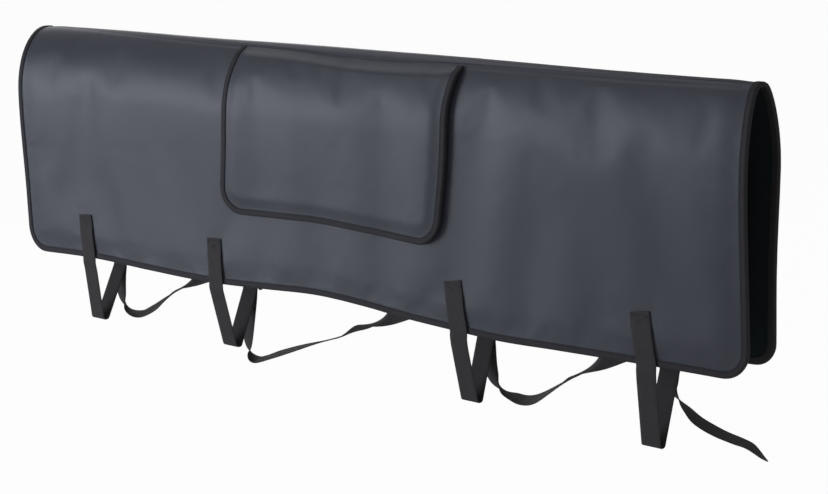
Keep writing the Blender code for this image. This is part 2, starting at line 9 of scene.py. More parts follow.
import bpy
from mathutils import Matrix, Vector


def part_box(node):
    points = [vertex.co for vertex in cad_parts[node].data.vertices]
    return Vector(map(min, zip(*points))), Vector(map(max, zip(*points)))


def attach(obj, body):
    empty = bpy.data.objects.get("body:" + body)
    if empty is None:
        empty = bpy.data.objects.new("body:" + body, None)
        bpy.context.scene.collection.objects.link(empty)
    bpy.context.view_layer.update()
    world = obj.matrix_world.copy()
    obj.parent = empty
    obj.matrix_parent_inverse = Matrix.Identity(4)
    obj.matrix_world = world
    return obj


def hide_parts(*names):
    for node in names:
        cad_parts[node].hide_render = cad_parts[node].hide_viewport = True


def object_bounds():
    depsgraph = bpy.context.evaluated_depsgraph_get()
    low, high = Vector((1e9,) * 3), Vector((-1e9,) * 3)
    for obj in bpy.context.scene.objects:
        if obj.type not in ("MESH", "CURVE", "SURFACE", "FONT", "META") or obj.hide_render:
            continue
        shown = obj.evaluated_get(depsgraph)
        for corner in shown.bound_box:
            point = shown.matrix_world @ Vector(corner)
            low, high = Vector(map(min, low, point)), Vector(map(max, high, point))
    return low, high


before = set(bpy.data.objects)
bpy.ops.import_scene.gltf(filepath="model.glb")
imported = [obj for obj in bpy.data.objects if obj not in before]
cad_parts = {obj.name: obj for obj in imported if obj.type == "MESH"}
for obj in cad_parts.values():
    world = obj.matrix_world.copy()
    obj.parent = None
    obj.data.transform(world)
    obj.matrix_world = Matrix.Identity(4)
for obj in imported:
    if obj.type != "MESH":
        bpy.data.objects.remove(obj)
cad_box = [list(corner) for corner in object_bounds()]

from math import cos, pi, radians, sin

import bmesh
import bpy
import numpy as np
from mathutils import Vector

print("solids in the frame:", len(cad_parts), "box:", np.round(cad_box, 4).tolist())

# %% [markdown]
# ## Camera
#
# The photograph was taken with a long lens from the right, a little above the
# pad.  The vertical edges stay vertical, so the camera has no roll.  A pinhole
# at a measured place is simpler than aiming a camera at a target, because the
# place, the heading and the pitch can each be set from the photograph.

# %% Camera
FOCAL_PIXELS = 2000
FRAME_PIXELS = 828
HEADING, PITCH_DOWN = 41.1, 10.4
CAMERA_PLACE = (1.927, -2.064, 0.2417)

scene = bpy.context.scene
lens = bpy.data.cameras.new("camera")
lens.sensor_width = 36
lens.lens = FOCAL_PIXELS / FRAME_PIXELS * lens.sensor_width
camera = bpy.data.objects.new("camera", lens)
camera.location = CAMERA_PLACE
camera.rotation_euler = (radians(90 - PITCH_DOWN), 0, radians(HEADING))
scene.collection.objects.link(camera)
scene.camera = camera
print("lens of", round(lens.lens, 1), "mm")

# %% [markdown]
# ## Materials
#
# Every finish is built from nodes.  Its colours are written as sRGB hex values,
# as a paint chart gives them, and one function turns them into the linear
# values that a shader needs.

# %% Colours
MM = 0.001


def linear(hex_colour):
    """An sRGB hex colour as linear RGBA."""
    values = [int(hex_colour[start:start + 2], 16) / 255 for start in (1, 3, 5)]
    return [v / 12.92 if v <= 0.04045 else ((v + 0.055) / 1.055) ** 2.4 for v in values] + [1.0]


print("half grey, #808080, is %.3f in linear light" % linear("#808080")[0])

# %% [markdown]
# One small function adds a node, sets its values and links its inputs, so that
# each material below reads as a recipe.  threads() draws a weave from two crossed
# sine waves, which stay sharp at any distance, where an image would blur.

# %% Helpers for materials
def add(tree, kind, settings=None, **inputs):
    """One node with its settings; an input is a value, or a socket to link from."""
    node = tree.nodes.new(kind)
    for name, value in (settings or {}).items():
        setattr(node, name, value)
    for name, value in inputs.items():
        key = int(name[1:]) if name[0] == "_" else name.replace("_", " ")
        if isinstance(value, bpy.types.NodeSocket):
            tree.links.new(value, node.inputs[key])
        else:
            node.inputs[key].default_value = value
    return node


def new_material(name, **shader_values):
    """An empty material and its shader, with the constant values set on its sockets."""
    material = bpy.data.materials.new(name)
    material.use_nodes = True
    shader = material.node_tree.nodes["Principled BSDF"]
    for key, value in shader_values.items():
        shader.inputs[key.replace("_", " ")].default_value = value
    return material, material.node_tree, shader


def threads(tree, uv, across, along):
    """Two crossed sets of round threads, spaced in metres: their height from 0 to 1."""
    parts = add(tree, "ShaderNodeSeparateXYZ", Vector=uv)
    waves = []
    for axis, spacing in (("X", across), ("Y", along)):
        angle = add(tree, "ShaderNodeMath", {"operation": "MULTIPLY"}, _0=parts.outputs[axis],
                    _1=2 * pi / spacing)
        waves.append(add(tree, "ShaderNodeMath", {"operation": "SINE"}, _0=angle.outputs[0]))
    product = add(tree, "ShaderNodeMath", {"operation": "MULTIPLY"}, _0=waves[0].outputs[0],
                  _1=waves[1].outputs[0])
    return add(tree, "ShaderNodeMath", {"operation": "MULTIPLY_ADD"}, _0=product.outputs[0],
               _1=0.5, _2=0.5).outputs[0]


def finish_with(tree, shader, height, distance, strength, tone, dark, light):
    """Bump, and a colour that drifts between two shades, linked to a shader."""
    bump = add(tree, "ShaderNodeBump", Height=height, Distance=distance, Strength=strength)
    colour = add(tree, "ShaderNodeMix", {"data_type": "RGBA"}, Factor=tone, _6=linear(dark),
                 _7=linear(light))
    tree.links.new(bump.outputs[0], shader.inputs["Normal"])
    tree.links.new(colour.outputs[2], shader.inputs["Base Color"])


# %% [markdown]
# ### Coated cloth
#
# The cover is woven polyester with a thin PVC coat.  The coat levels the weave,
# so the eye sees a satin surface with a faint grain and broad soft highlights.
# The weave is drawn 0.9 mm wide, coarser than the real 0.4 mm, so that it shows.
# The scale of a noise is one over the size of its spots.

# %% Coated cloth
WEAVE, GRAIN, CLOUD = 0.9 * MM, 1.11 * MM, 111 * MM


def coated_cloth():
    material, tree, shader = new_material("pvc_coated_polyester", Specular_IOR_Level=0.5)
    place = add(tree, "ShaderNodeTexCoord")
    weave = threads(tree, place.outputs["UV"], WEAVE, WEAVE)
    cloud = add(tree, "ShaderNodeTexNoise", Vector=place.outputs["Object"], Scale=1 / CLOUD,
                Detail=3.0)
    grain = add(tree, "ShaderNodeTexNoise", Vector=place.outputs["Object"], Scale=1 / GRAIN,
                Detail=2.0)
    mixed = add(tree, "ShaderNodeMath", {"operation": "MULTIPLY_ADD"}, _0=grain.outputs[0],
                _1=0.6, _2=weave)
    rough = add(tree, "ShaderNodeMapRange", Value=cloud.outputs[0], _3=0.40, _4=0.46)
    tree.links.new(rough.outputs[0], shader.inputs["Roughness"])
    finish_with(tree, shader, mixed.outputs[0], 0.05 * MM, 0.35, cloud.outputs[0],
                "#444650", "#4b4d58")
    return material


CLOTH = coated_cloth()
print("nodes of the coated cloth:", len(CLOTH.node_tree.nodes))

# %% [markdown]
# ### Fleece and foam
#
# The lining is a brushed polyester knit.  Its nap scatters light, so it looks
# matt and nearly black.  The padding is closed-cell foam, whose cut cells give
# it a fine grain.  Neither follows a thread, so noise makes the nap and small
# Voronoi cells make the foam.

# %% Fleece and foam
NAP, FLEECE_PATCH, FOAM_CELL = 1.43 * MM, 71 * MM, 1.11 * MM


def fleece():
    material, tree, shader = new_material("brushed_fleece", Roughness=0.95,
                                          Specular_IOR_Level=0.15, Sheen_Weight=0.10,
                                          Sheen_Roughness=0.5)
    place = add(tree, "ShaderNodeTexCoord")
    nap = add(tree, "ShaderNodeTexNoise", Vector=place.outputs["Object"], Scale=1 / NAP,
              Detail=4.0)
    patch = add(tree, "ShaderNodeTexNoise", Vector=place.outputs["Object"],
                Scale=1 / FLEECE_PATCH)
    finish_with(tree, shader, nap.outputs[0], 0.6 * MM, 0.6, patch.outputs[0],
                "#1e2628", "#283032")
    return material


def closed_cell_foam():
    material, tree, shader = new_material("closed_cell_foam", Roughness=0.9)
    place = add(tree, "ShaderNodeTexCoord")
    cells = add(tree, "ShaderNodeTexVoronoi", Vector=place.outputs["Object"],
                Scale=1 / FOAM_CELL)
    finish_with(tree, shader, cells.outputs[0], 0.3 * MM, 0.5, cells.outputs[0],
                "#26262a", "#36363a")
    return material


FLEECE = fleece()
FOAM_MATERIAL = closed_cell_foam()
print("made", FLEECE.name, "and", FOAM_MATERIAL.name)

# %% [markdown]
# ### Tape and webbing
#
# Both are woven narrow.  Polyester binding tape has fine ribs and looks plain
# from a step away.  Polypropylene webbing has coarse ones, and its stiff yarn
# catches the light.  The ribs read the UV map, because they have to follow the
# strap round its loop.  They are drawn 1.1 and 1.6 mm wide, about twice as wide
# as the real ones, so that they show.

# %% Tape and webbing
TAPE_RIB, WEBBING_RIB, FUZZ = 1.1 * MM, 1.6 * MM, 16.7 * MM


def ribbed(name, dark, light, rib, roughness, depth):
    """Narrow woven goods, with ribs as wide as they are long."""
    material, tree, shader = new_material(name, Roughness=roughness, Specular_IOR_Level=0.3)
    place = add(tree, "ShaderNodeTexCoord")
    weave = threads(tree, place.outputs["UV"], rib, rib)
    fuzz = add(tree, "ShaderNodeTexNoise", Vector=place.outputs["Object"], Scale=1 / FUZZ,
               Detail=4.0)
    finish_with(tree, shader, weave, depth, 0.7, fuzz.outputs[0], dark, light)
    return material


TAPE_MATERIAL = ribbed("polyester_binding_tape", "#343336", "#3e3d40", TAPE_RIB, 0.62, 0.10 * MM)
WEBBING = ribbed("polypropylene_webbing", "#403e3f", "#4b494a", WEBBING_RIB, 0.70, 0.25 * MM)
print("made", TAPE_MATERIAL.name, "and", WEBBING.name)

# %% [markdown]
# ### Hook and loop, buckles and thread
#
# Hook and loop tape is a dark fuzz of nylon bristles.  The buckles are moulded
# acetal, with a spark-eroded grain that softens their highlight.  The thread is
# twisted polyester, and a wave pattern stands for its strands.  At a scale of 1
# Blender's wave repeats 20 times in 2 pi metres, which gives its scale here.

# %% Hook and loop, buckles and thread
BRISTLE, SPARK_GRAIN, ACETAL_PATCH, STRAND = 1.43 * MM, 0.67 * MM, 25 * MM, 0.286 * MM
WAVE_PERIOD = 2 * pi / 20


def grip_tape():
    material, tree, shader = new_material("hook_and_loop", Roughness=0.9, Sheen_Weight=0.2)
    place = add(tree, "ShaderNodeTexCoord")
    hooks = add(tree, "ShaderNodeTexVoronoi", Vector=place.outputs["Object"], Scale=1 / BRISTLE)
    finish_with(tree, shader, hooks.outputs[0], 0.8 * MM, 0.8, hooks.outputs[0],
                "#1c1c1e", "#2a2a2c")
    return material


def acetal():
    material, tree, shader = new_material("moulded_acetal", Roughness=0.38)
    place = add(tree, "ShaderNodeTexCoord")
    grain = add(tree, "ShaderNodeTexNoise", Vector=place.outputs["Object"], Scale=1 / SPARK_GRAIN)
    patch = add(tree, "ShaderNodeTexNoise", Vector=place.outputs["Object"], Scale=1 / ACETAL_PATCH)
    finish_with(tree, shader, grain.outputs[0], 0.05 * MM, 0.4, patch.outputs[0],
                "#1d1d1f", "#242426")
    return material


def sewing_thread():
    material, tree, shader = new_material("polyester_thread", Roughness=0.6,
                                          Specular_IOR_Level=0.3)
    place = add(tree, "ShaderNodeTexCoord")
    strands = add(tree, "ShaderNodeTexWave", Vector=place.outputs["Object"],
                  Scale=WAVE_PERIOD / STRAND, Distortion=1.0)
    finish_with(tree, shader, strands.outputs[1], 0.08 * MM, 0.6, strands.outputs[1],
                "#19191b", "#29292c")
    return material


GRIP = grip_tape()
ACETAL = acetal()
THREAD = sewing_thread()
print("made", GRIP.name, ACETAL.name, "and", THREAD.name)

# %% [markdown]
# ## The hung section
#
# Laid on a table the cover is flat.  Hung, it is a fold whose section changes
# a little from end to end: the crest drifts, the panels belly out, and the hems
# wave between the straps.  Each of these is one smooth curve along the width,
# given by a few measured values: pairs of a place across and a value, in metres.
# The section itself is two Bezier curves and a straight hem on each side, the
# same form that the solids have.

# %% Curves along the width
END = (cad_box[1][0] - cad_box[0][0]) / 2
FRONT, REAR = -1, 1
CROWN_FLAT = 0.008
BELLY_DEPTH = {FRONT: 0.097, REAR: 0.103}
BELLY_EASE = 0.052
HEM_STRAIGHT = 0.085
HEM_EASE = 0.070
CREST_SHIFT = ((-END, .016), (-.45, .008), (-.2, .002), (0, 0), (.2, -.001), (.45, -.005),
               (END, -.012))
CREST_RISE = ((-END, -.0008), (-.5, .0005), (-.27, -.0002), (-.1, .0006), (.08, .0),
              (.22, -.0004), (.34, -.0016), (.46, -.0026), (END, -.0018))
SHOULDER = {FRONT: ((-END, .018), (-.56, .013), (-.4, .008), (END, .008)),
            REAR: ((-END, .010), (END, .010))}
BELLY_ROUND = {FRONT: ((-END, .068), (-.52, .058), (-.3, .052), (END, .052)),
               REAR: ((-END, .052), (END, .052))}
BELLY = {FRONT: ((-END, .0385), (-.56, .0345), (-.4, .032), (-.2, .033), (0, .030), (.2, .027),
                 (.45, .030), (END, .0375)),
         REAR: ((-END, .028), (0, .028), (.45, .028), (END, .0275))}
HEM_OUT = {FRONT: ((-END, .0240), (-.5, .0235), (-.3, .025), (0, .026), (.3, .025), (.5, .022),
                   (END, .0160)),
           REAR: ((-END, .0235), (0, .0235), (.5, .0235), (.6, .027), (END, .0330))}
LEAN = {FRONT: ((-END, .05), (-.5, .02), (0, .0), (.5, .02), (END, .09)),
        REAR: ((-END, .007), (.5, .007), (END, -.06))}
DROP = {FRONT: ((-END, .3590), (-.52, .3540), (-.40, .3565), (-.25, .3572), (-.137, .3518),
                (-.03, .3464), (.063, .3500), (.138, .3560), (.22, .3600), (.30, .3632),
                (.40, .3612), (.525, .3590), (END, .3585)),
        REAR: ((-END, .3500), (-.538, .3520), (-.38, .3535), (-.236, .3520), (0, .3500),
               (.230, .3520), (.38, .3535), (.533, .3520), (END, .3510))}
print("the pad is %.0f mm wide" % (2 * END / MM))

# %% [markdown]
# A table of values has to become a smooth curve.  A cubic through each pair of
# neighbours, with slopes taken from the values on both sides, has no corner
# and needs no solver.

# %% Smooth curves
def smooth_through(places, values, at):
    """A smooth curve through values at growing places, read at every place of an array."""
    slopes = np.gradient(values, places, axis=0)
    index = np.clip(np.searchsorted(places, at) - 1, 0, len(places) - 2)
    span = places[index + 1] - places[index]
    u = np.clip((at - places[index]) / span, 0, 1)
    if values.ndim > 1:
        u, span = u[:, None], span[:, None]
    return ((1 + 2 * u) * (1 - u) ** 2 * values[index] + u * (1 - u) ** 2 * span * slopes[index]
            + u * u * (3 - 2 * u) * values[index + 1] + u * u * (u - 1) * span * slopes[index + 1])


def through(knots, at):
    """smooth_through() for a list of (place, value) knots."""
    places, values = np.array(knots).T
    return smooth_through(places, values, at)


def ease(value):
    """From 0 to 1 with no corner at either end."""
    value = np.clip(value, 0, 1)
    return value * value * (3 - 2 * value)


def unit(vectors):
    """The same directions with a length of 1."""
    return vectors / np.linalg.norm(vectors, axis=-1, keepdims=True)


print("front drop at the middle: %.0f mm" % (through(DROP[FRONT], np.array([0.0]))[0] / MM))

# %% [markdown]
# The section is worked out at a few hundred stations and kept as a table, so
# that thousands of mesh points can be laid on it at once.  A point of the flat
# cut is (x, t, d): along the width, along the cloth from the front hem, and
# above the inner face of the lining.

# %% The table of sections
STATION_STEP, BEYOND_END = 4 * MM, 20 * MM
LEVEL_STEP, HALF_LEVELS = 1.5 * MM, 280
CURVE_STEPS = 160


def half_sections(side, x):
    """Crown edge to hem at each station: an array (stations, points, 2) of y and z."""
    shift, rise = through(CREST_SHIFT, x), through(CREST_RISE, x)
    belly, out = through(BELLY[side], x) * side, through(HEM_OUT[side], x) * side
    lean, drop = through(LEAN[side], x) * -side, through(DROP[side], x)
    shoulder, round_over = through(SHOULDER[side], x) * side, through(BELLY_ROUND[side], x)

    def points(y, z):
        return np.stack(np.broadcast_arrays(y, z), axis=-1).astype(float)

    crown = points(shift + side * CROWN_FLAT / 2, rise)
    widest = points(belly, -BELLY_DEPTH[side])
    hem = points(out, -drop)
    down = unit(points(lean, -1.0))
    hem_top = hem - down * HEM_STRAIGHT
    curves = ((crown, crown + points(shoulder, 0), widest + points(0, round_over), widest),
              (widest, widest - [0, BELLY_EASE], hem_top - down * HEM_EASE, hem_top))
    u = (np.arange(CURVE_STEPS) / CURVE_STEPS)[None, :, None]
    runs = [a[:, None] * (1 - u) ** 3 + b[:, None] * 3 * u * (1 - u) ** 2
            + c[:, None] * 3 * u * u * (1 - u) + d[:, None] * u ** 3 for a, b, c, d in curves]
    u = np.linspace(0, 1, CURVE_STEPS)[None, :, None]
    runs.append(hem_top[:, None] * (1 - u) + hem[:, None] * u)
    return np.concatenate(runs, axis=1)


def evenly(rows, count):
    """The same polylines with `count` points, evenly spaced along each."""
    steps = np.linalg.norm(np.diff(rows, axis=1), axis=2)
    along = np.concatenate([np.zeros((len(rows), 1)), np.cumsum(steps, axis=1)], axis=1)
    spaced = [[np.interp(np.linspace(0, places[-1], count), places, row[:, axis])
               for axis in (0, 1)] for places, row in zip(along, rows)]
    return np.array(spaced).transpose(0, 2, 1), along[:, -1].mean()


STATIONS = np.arange(-END - BEYOND_END, END + BEYOND_END + STATION_STEP, STATION_STEP)
clamped = np.clip(STATIONS, -END, END)
front_half, front_length = evenly(half_sections(FRONT, clamped), HALF_LEVELS)
rear_half, rear_length = evenly(half_sections(REAR, clamped), HALF_LEVELS)
CREST_T = front_length + CROWN_FLAT / 2
CLOTH_LENGTH = CREST_T + CROWN_FLAT / 2 + rear_length
LEVELS = np.concatenate([np.linspace(0, front_length, HALF_LEVELS),
                         np.linspace(CREST_T + CROWN_FLAT / 2, CLOTH_LENGTH, HALF_LEVELS)])
SECTION = np.concatenate([front_half[:, ::-1], rear_half], axis=1)
T_GRID = np.arange(0, CLOTH_LENGTH + LEVEL_STEP, LEVEL_STEP)
SECTION = np.array([[np.interp(T_GRID, LEVELS, row[:, axis]) for axis in (0, 1)]
                    for row in SECTION]).transpose(0, 2, 1)
direction = np.gradient(SECTION, axis=1)
OUTWARD = unit(np.stack([-direction[..., 1], direction[..., 0]], axis=-1))
print("cloth from hem to hem: %.1f mm, crest at %.1f mm" % (CLOTH_LENGTH / MM, CREST_T / MM))

# %% [markdown]
# ### Flat cuts
#
# Every sheet is a rounded rectangle on the flat cloth.  A cut can tell how far
# a point lies inside it, and this is what places seams, tape and pressed foam.

# %% Cuts
class Cut:
    """A flat cut with straight sides, rounded at its low and its high end."""

    def __init__(self, width, low, high, low_radius=0.0, high_radius=0.0, middle=0.0):
        self.half, self.low, self.high, self.middle = width / 2, low, high, middle
        self.radii = (low_radius, high_radius)

    def half_at(self, t):
        """Half the width at each level, held beyond the two ends."""
        half = np.full(np.shape(t), self.half)
        for up, radius in zip((t - self.low, self.high - t), self.radii):
            reach = np.clip(radius - up, 0, radius)
            half = np.minimum(half, self.half - radius + np.sqrt(radius ** 2 - reach ** 2))
        return half

    def inset_of(self, x, t):
        """How far points lie inside the outline, and as negative values outside it."""
        middle = (self.low + self.high) / 2
        radius = np.where(t < middle, *self.radii)
        over_x = np.abs(x - self.middle) - self.half + radius
        over_t = np.abs(t - middle) - (self.high - self.low) / 2 + radius
        beyond = np.hypot(np.maximum(over_x, 0), np.maximum(over_t, 0))
        return radius - beyond - np.minimum(np.maximum(over_x, over_t), 0)

    def rows(self, step):
        """Levels for the mesh rows, closer together round the corners."""
        levels = list(np.linspace(self.low, self.high, int((self.high - self.low) / step) + 1))
        for end, way, radius in zip((self.low, self.high), (1, -1), self.radii):
            levels += [end + way * radius * (1 - cos(a)) for a in np.linspace(0, pi / 2, 9)]
        return levels


square = Cut(100 * MM, 0, 100 * MM)
print("middle of a 100 mm square: %.0f mm inside" % (square.inset_of(0, 50 * MM) / MM))

# %% [markdown]
# ### Layers, seams and pressed places
#
# Where tape or a strap is sewn on, the thread pulls the foam together until the
# edge is thin.  Only the foam gives way: the lining rises, the cover sinks, and
# so the layers never cross, however strongly they are pressed.  Just in front of
# the crest the cover has a seam, and the flap is caught in it.  The straps are
# sewn on a few millimetres to the left of their buckles, as in the photograph.
# The tape's legs and the rear corners are a little smaller than in the solids.

# %% Sizes of the layers
FIT = 0.3 * MM
LINING = 1.2 * MM
FOAM = 6.0 * MM
COVER = 0.9 * MM
TAPE = 0.8 * MM
TAPE_LEG, TAPE_ROUND = 8 * MM, 0.9 * MM
FOAM_D = (LINING + FIT, LINING + FIT + FOAM)
COVER_D = (FOAM_D[1] + FIT, FOAM_D[1] + FIT + COVER)
STACK = COVER_D[1]
EDGE = FIT + TAPE + TAPE_ROUND
FRONT_RADIUS, REAR_RADIUS = 40 * MM, 30 * MM
WINDOW_WIDTH, WINDOW_HEIGHT = 250 * MM, 85 * MM
WINDOW_BELOW_CREST, WINDOW_RADIUS = 90 * MM, 20 * MM
WEB_WIDTH = 30 * MM
WEB, TAB_WEB = 1.5 * MM, 1.2 * MM
ANCHOR_TOP, ANCHOR_SEWN = 68 * MM, 22 * MM
TOP_SHIFT = (-.002, -.006, -.005, -.0035)
SEAM_BACK = ((-END, .007), (-.45, .009), (-.25, .0098), (-.06, .0125), (.03, .0168), (.11, .016),
             (.2, .0125), (.3, .0115), (.55, .0105), (END, .009))

panel = Cut(2 * (END - EDGE), EDGE, CLOTH_LENGTH - EDGE, FRONT_RADIUS - EDGE,
            REAR_RADIUS - EDGE)
window_top = CREST_T - WINDOW_BELOW_CREST
window = Cut(WINDOW_WIDTH, window_top - WINDOW_HEIGHT, window_top, WINDOW_RADIUS, WINDOW_RADIUS)
STRAP_X = [sum(corner[0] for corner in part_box("buckle_tab_%d" % number)) / 2
           for number in range(1, 5)]
ANCHOR_X = [x + shift for x, shift in zip(STRAP_X, TOP_SHIFT)]
anchors = [Cut(WEB_WIDTH, ANCHOR_TOP - ANCHOR_SEWN, ANCHOR_TOP, middle=x) for x in ANCHOR_X]
print("layers together: %.1f mm, straps sewn on at" % (STACK / MM), np.round(ANCHOR_X, 3).tolist())

# %% [markdown]
# Sewing changes how deep a layer lies, and never its outline.  So three small
# functions of the flat cut are enough: how far the layers are pressed together,
# how the edge puckers and how deep the seam lies.  A sculpted mesh could look
# the same, but tape and thread couldn't follow it by themselves.  The puckers
# are a sum of ripples, each with its length, its share and its phase.

# %% What the sewing does
PRESS_START, PRESS_WIDTH = 0.8 * TAPE_LEG, 36 * MM
LINING_LIFT, COVER_SINK = 3.2 * MM, 1.2 * MM
ANCHOR_PRESS, ANCHOR_SPREAD = 0.25, 26 * MM
PUCKER, PUCKER_START, PUCKER_REACH = 0.30 * MM, 4 * MM, 18 * MM
RIPPLES = ((31 * MM, 1.0, 0.0), (47 * MM, 0.7, 1.3), (19 * MM, 0.5, 2.1))
SEAM_DEPTH, SEAM_WIDTH, SEAM_END = 0.7 * MM, 1.4 * MM, 30 * MM


def pressed(x, t):
    """How far the sewing draws the layers together, from 0 to 1."""
    held = [1 - ease((panel.inset_of(x, t) - PRESS_START) / PRESS_WIDTH),
            1 - ease((-window.inset_of(x, t) - PRESS_START) / PRESS_WIDTH)]
    held += [ANCHOR_PRESS * (1 - ease(-anchor.inset_of(x, t) / ANCHOR_SPREAD))
             for anchor in anchors]
    return np.max(held, axis=0)


def puckers(x, t):
    """Small ripples that the stitching gathers along the edge."""
    ripple = sum(share * np.sin(2 * pi * (x + t) / length + phase)
                 for length, share, phase in RIPPLES) / sum(share for _, share, _ in RIPPLES)
    inset = panel.inset_of(x, t) - TAPE_LEG
    return PUCKER * ripple * ease(inset / PUCKER_START) * (1 - ease(inset / PUCKER_REACH))


def crest_seam(x, t):
    """How deep the seam in front of the crest draws the cloth in."""
    away = (t - CREST_T + through(SEAM_BACK, x)) / SEAM_WIDTH
    return SEAM_DEPTH * np.exp(-away ** 2 / 2) * ease(panel.inset_of(x, t) / SEAM_END)


print("pressed at a strap: %.2f" % pressed(ANCHOR_X[0], ANCHOR_TOP - ANCHOR_SEWN / 2))

# %% [markdown]
# hung() is the one way from the flat cut to the hanging pad.  It finds the
# place on the section, and moves out from there by the depth of the layer, the
# pressing, the folds and the seam.  Every layer goes through it, so whatever
# bends one bends them all.  The table of folds is still empty here.

# %% From the flat cut to the hanging pad
WRINKLES = np.zeros((len(STATIONS), len(T_GRID)))


def read(table, x, t):
    """A table of stations and levels, read between its entries."""
    i = np.clip((x - STATIONS[0]) / STATION_STEP, 0, len(STATIONS) - 1.001)
    j = np.clip(t / LEVEL_STEP, 0, len(T_GRID) - 1.001)
    i0, j0 = i.astype(int), j.astype(int)
    u, v = i - i0, j - j0
    if table.ndim == 3:
        u, v = u[:, None], v[:, None]
    return ((table[i0, j0] * (1 - v) + table[i0, j0 + 1] * v) * (1 - u)
            + (table[i0 + 1, j0] * (1 - v) + table[i0 + 1, j0 + 1] * v) * u)


def hung(x, t, d):
    """Where points of the flat cut hang, as an array (points, 3)."""
    x, t, d = (np.asarray(value, float).ravel() for value in np.broadcast_arrays(x, t, d))
    inside = np.clip(t, 0, CLOTH_LENGTH)
    place, normal = read(SECTION, x, inside), read(OUTWARD, x, inside)
    along = np.stack([normal[:, 1], -normal[:, 0]], axis=-1)
    outside = np.clip((d - FOAM_D[0]) / FOAM, 0, 1)
    drawn = LINING_LIFT - (LINING_LIFT + COVER_SINK) * outside
    depth = d + pressed(x, t) * drawn + read(WRINKLES, x, inside)
    depth += (puckers(x, inside) - crest_seam(x, inside)) * outside
    yz = place + normal * depth[:, None] + along * (t - inside)[:, None]
    return np.column_stack([x, yz])


print("middle of the front hem hangs at", np.round(hung(0, 0, 0)[0], 4).tolist())

# %% [markdown]
# ### Wrinkles
#
# The cover is cut a little larger than the foam and sewn down at its edge, at
# the crest's seam and under the straps.  The spare cloth rises as soft folds
# between these seams.  A cloth simulation of the cover alone
# finds them: the sewn places are pinned, the foam holds the rest loosely, and
# the cloth grows by four parts in a thousand.  Gravity is left out, since the
# foam carries the cloth.  What comes out is a height for every place of the flat
# cut.  The foam gives way under a fold, so only a share of the height is kept,
# and all the layers then follow it.

# %% Simulate the cover
SIM_STEP, SIM_FRAMES = 11 * MM, 34
SPARE_CLOTH, FOAM_HOLD = 0.004, 0.15
BEND_STIFFNESS, FOLD_SHARE = 15.0, 0.34
START_NOISE = 0.15 * MM
CREST_HELD_BACK, CREST_HELD = 2 * MM, 9 * MM
EDGE_RAMP, CREST_RAMP, STRAP_RAMP = 8 * MM, 10 * MM, 6 * MM


def sewn_share(x, t):
    """How firmly the cover is held, from the foam's light hold to 1 at a seam."""
    held = [1 - ease((panel.inset_of(x, t) - TAPE_LEG) / EDGE_RAMP),
            1 - ease((np.abs(t - CREST_T + CREST_HELD_BACK) - CREST_HELD) / CREST_RAMP)]
    held += [1 - ease(-anchor.inset_of(x, t) / STRAP_RAMP) for anchor in anchors]
    return np.maximum(FOAM_HOLD, np.max(held, axis=0))


def simulated_folds():
    """Heights of the folds, as a table of stations and levels."""
    across = np.linspace(-END, END, int(2 * END / SIM_STEP))
    along = np.linspace(0, CLOTH_LENGTH, int(CLOTH_LENGTH / SIM_STEP))
    x, t = (grid.ravel() for grid in np.meshgrid(across, along, indexing="ij"))
    rest = hung(x, t, STACK)
    normal = (hung(x, t, STACK + FOAM) - rest) / FOAM
    start = rest + normal * np.random.default_rng(7).normal(0, START_NOISE, len(x))[:, None]
    index = np.arange(len(x)).reshape(len(across), len(along))
    cells = np.stack([index[:-1, :-1], index[1:, :-1], index[1:, 1:], index[:-1, 1:]], axis=-1)
    mesh = bpy.data.meshes.new("loose_cover")
    mesh.from_pydata(start.tolist(), [], cells.reshape(-1, 4).tolist())
    loose = bpy.data.objects.new("loose_cover", mesh)
    scene.collection.objects.link(loose)
    pins = loose.vertex_groups.new(name="sewn")
    for corner, share in enumerate(sewn_share(x, t)):
        pins.add([corner], share, "REPLACE")
    cloth = loose.modifiers.new("cloth", "CLOTH")
    cloth.settings.vertex_group_mass = "sewn"
    cloth.settings.quality = 6
    cloth.settings.mass = 0.35
    cloth.settings.tension_stiffness = cloth.settings.compression_stiffness = 25
    cloth.settings.shear_stiffness = 12
    cloth.settings.bending_stiffness = BEND_STIFFNESS
    cloth.settings.effector_weights.gravity = 0
    cloth.settings.air_damping = 4
    cloth.settings.shrink_min = cloth.settings.shrink_max = -SPARE_CLOTH
    cloth.collision_settings.use_collision = False
    cloth.point_cache.frame_start, cloth.point_cache.frame_end = 1, SIM_FRAMES
    for frame_number in range(1, SIM_FRAMES + 1):
        scene.frame_set(frame_number)
    graph = bpy.context.evaluated_depsgraph_get()
    settled = np.empty(3 * len(x))
    loose.evaluated_get(graph).data.vertices.foreach_get("co", settled)
    rise = ((settled.reshape(-1, 3) - rest) * normal).sum(axis=1).reshape(index.shape)
    scene.frame_set(1)
    bpy.data.objects.remove(loose)
    return FOLD_SHARE * smooth_through(along, smooth_through(across, rise, STATIONS).T, T_GRID).T


WRINKLES[:] = simulated_folds()
print("folds from %.1f to %.1f mm" % (WRINKLES.min() / MM, WRINKLES.max() / MM))

# %% [markdown]
# ## Making meshes
#
# A cut is an outline on the flat cloth.  Its rows follow the outline, so the
# mesh has a clean edge with no stray triangles, and a window is cut by leaving
# out the cells inside it.  The UV map is the flat cut itself, in metres, so a
# weave stays square to the cloth wherever it is bent.

# %% Rows and columns of a cut
LEAST_ROW, CROWDED, SAME = 0.05 * MM, 0.2 * MM, 1e-6


def merged(levels, least):
    """Sorted levels, without those that crowd the one before."""
    levels = sorted(levels)
    kept = [levels[0]]
    for level in levels[1:]:
        if level - kept[-1] > least:
            kept.append(level)
    kept[-1] = levels[-1]
    return np.array(kept)


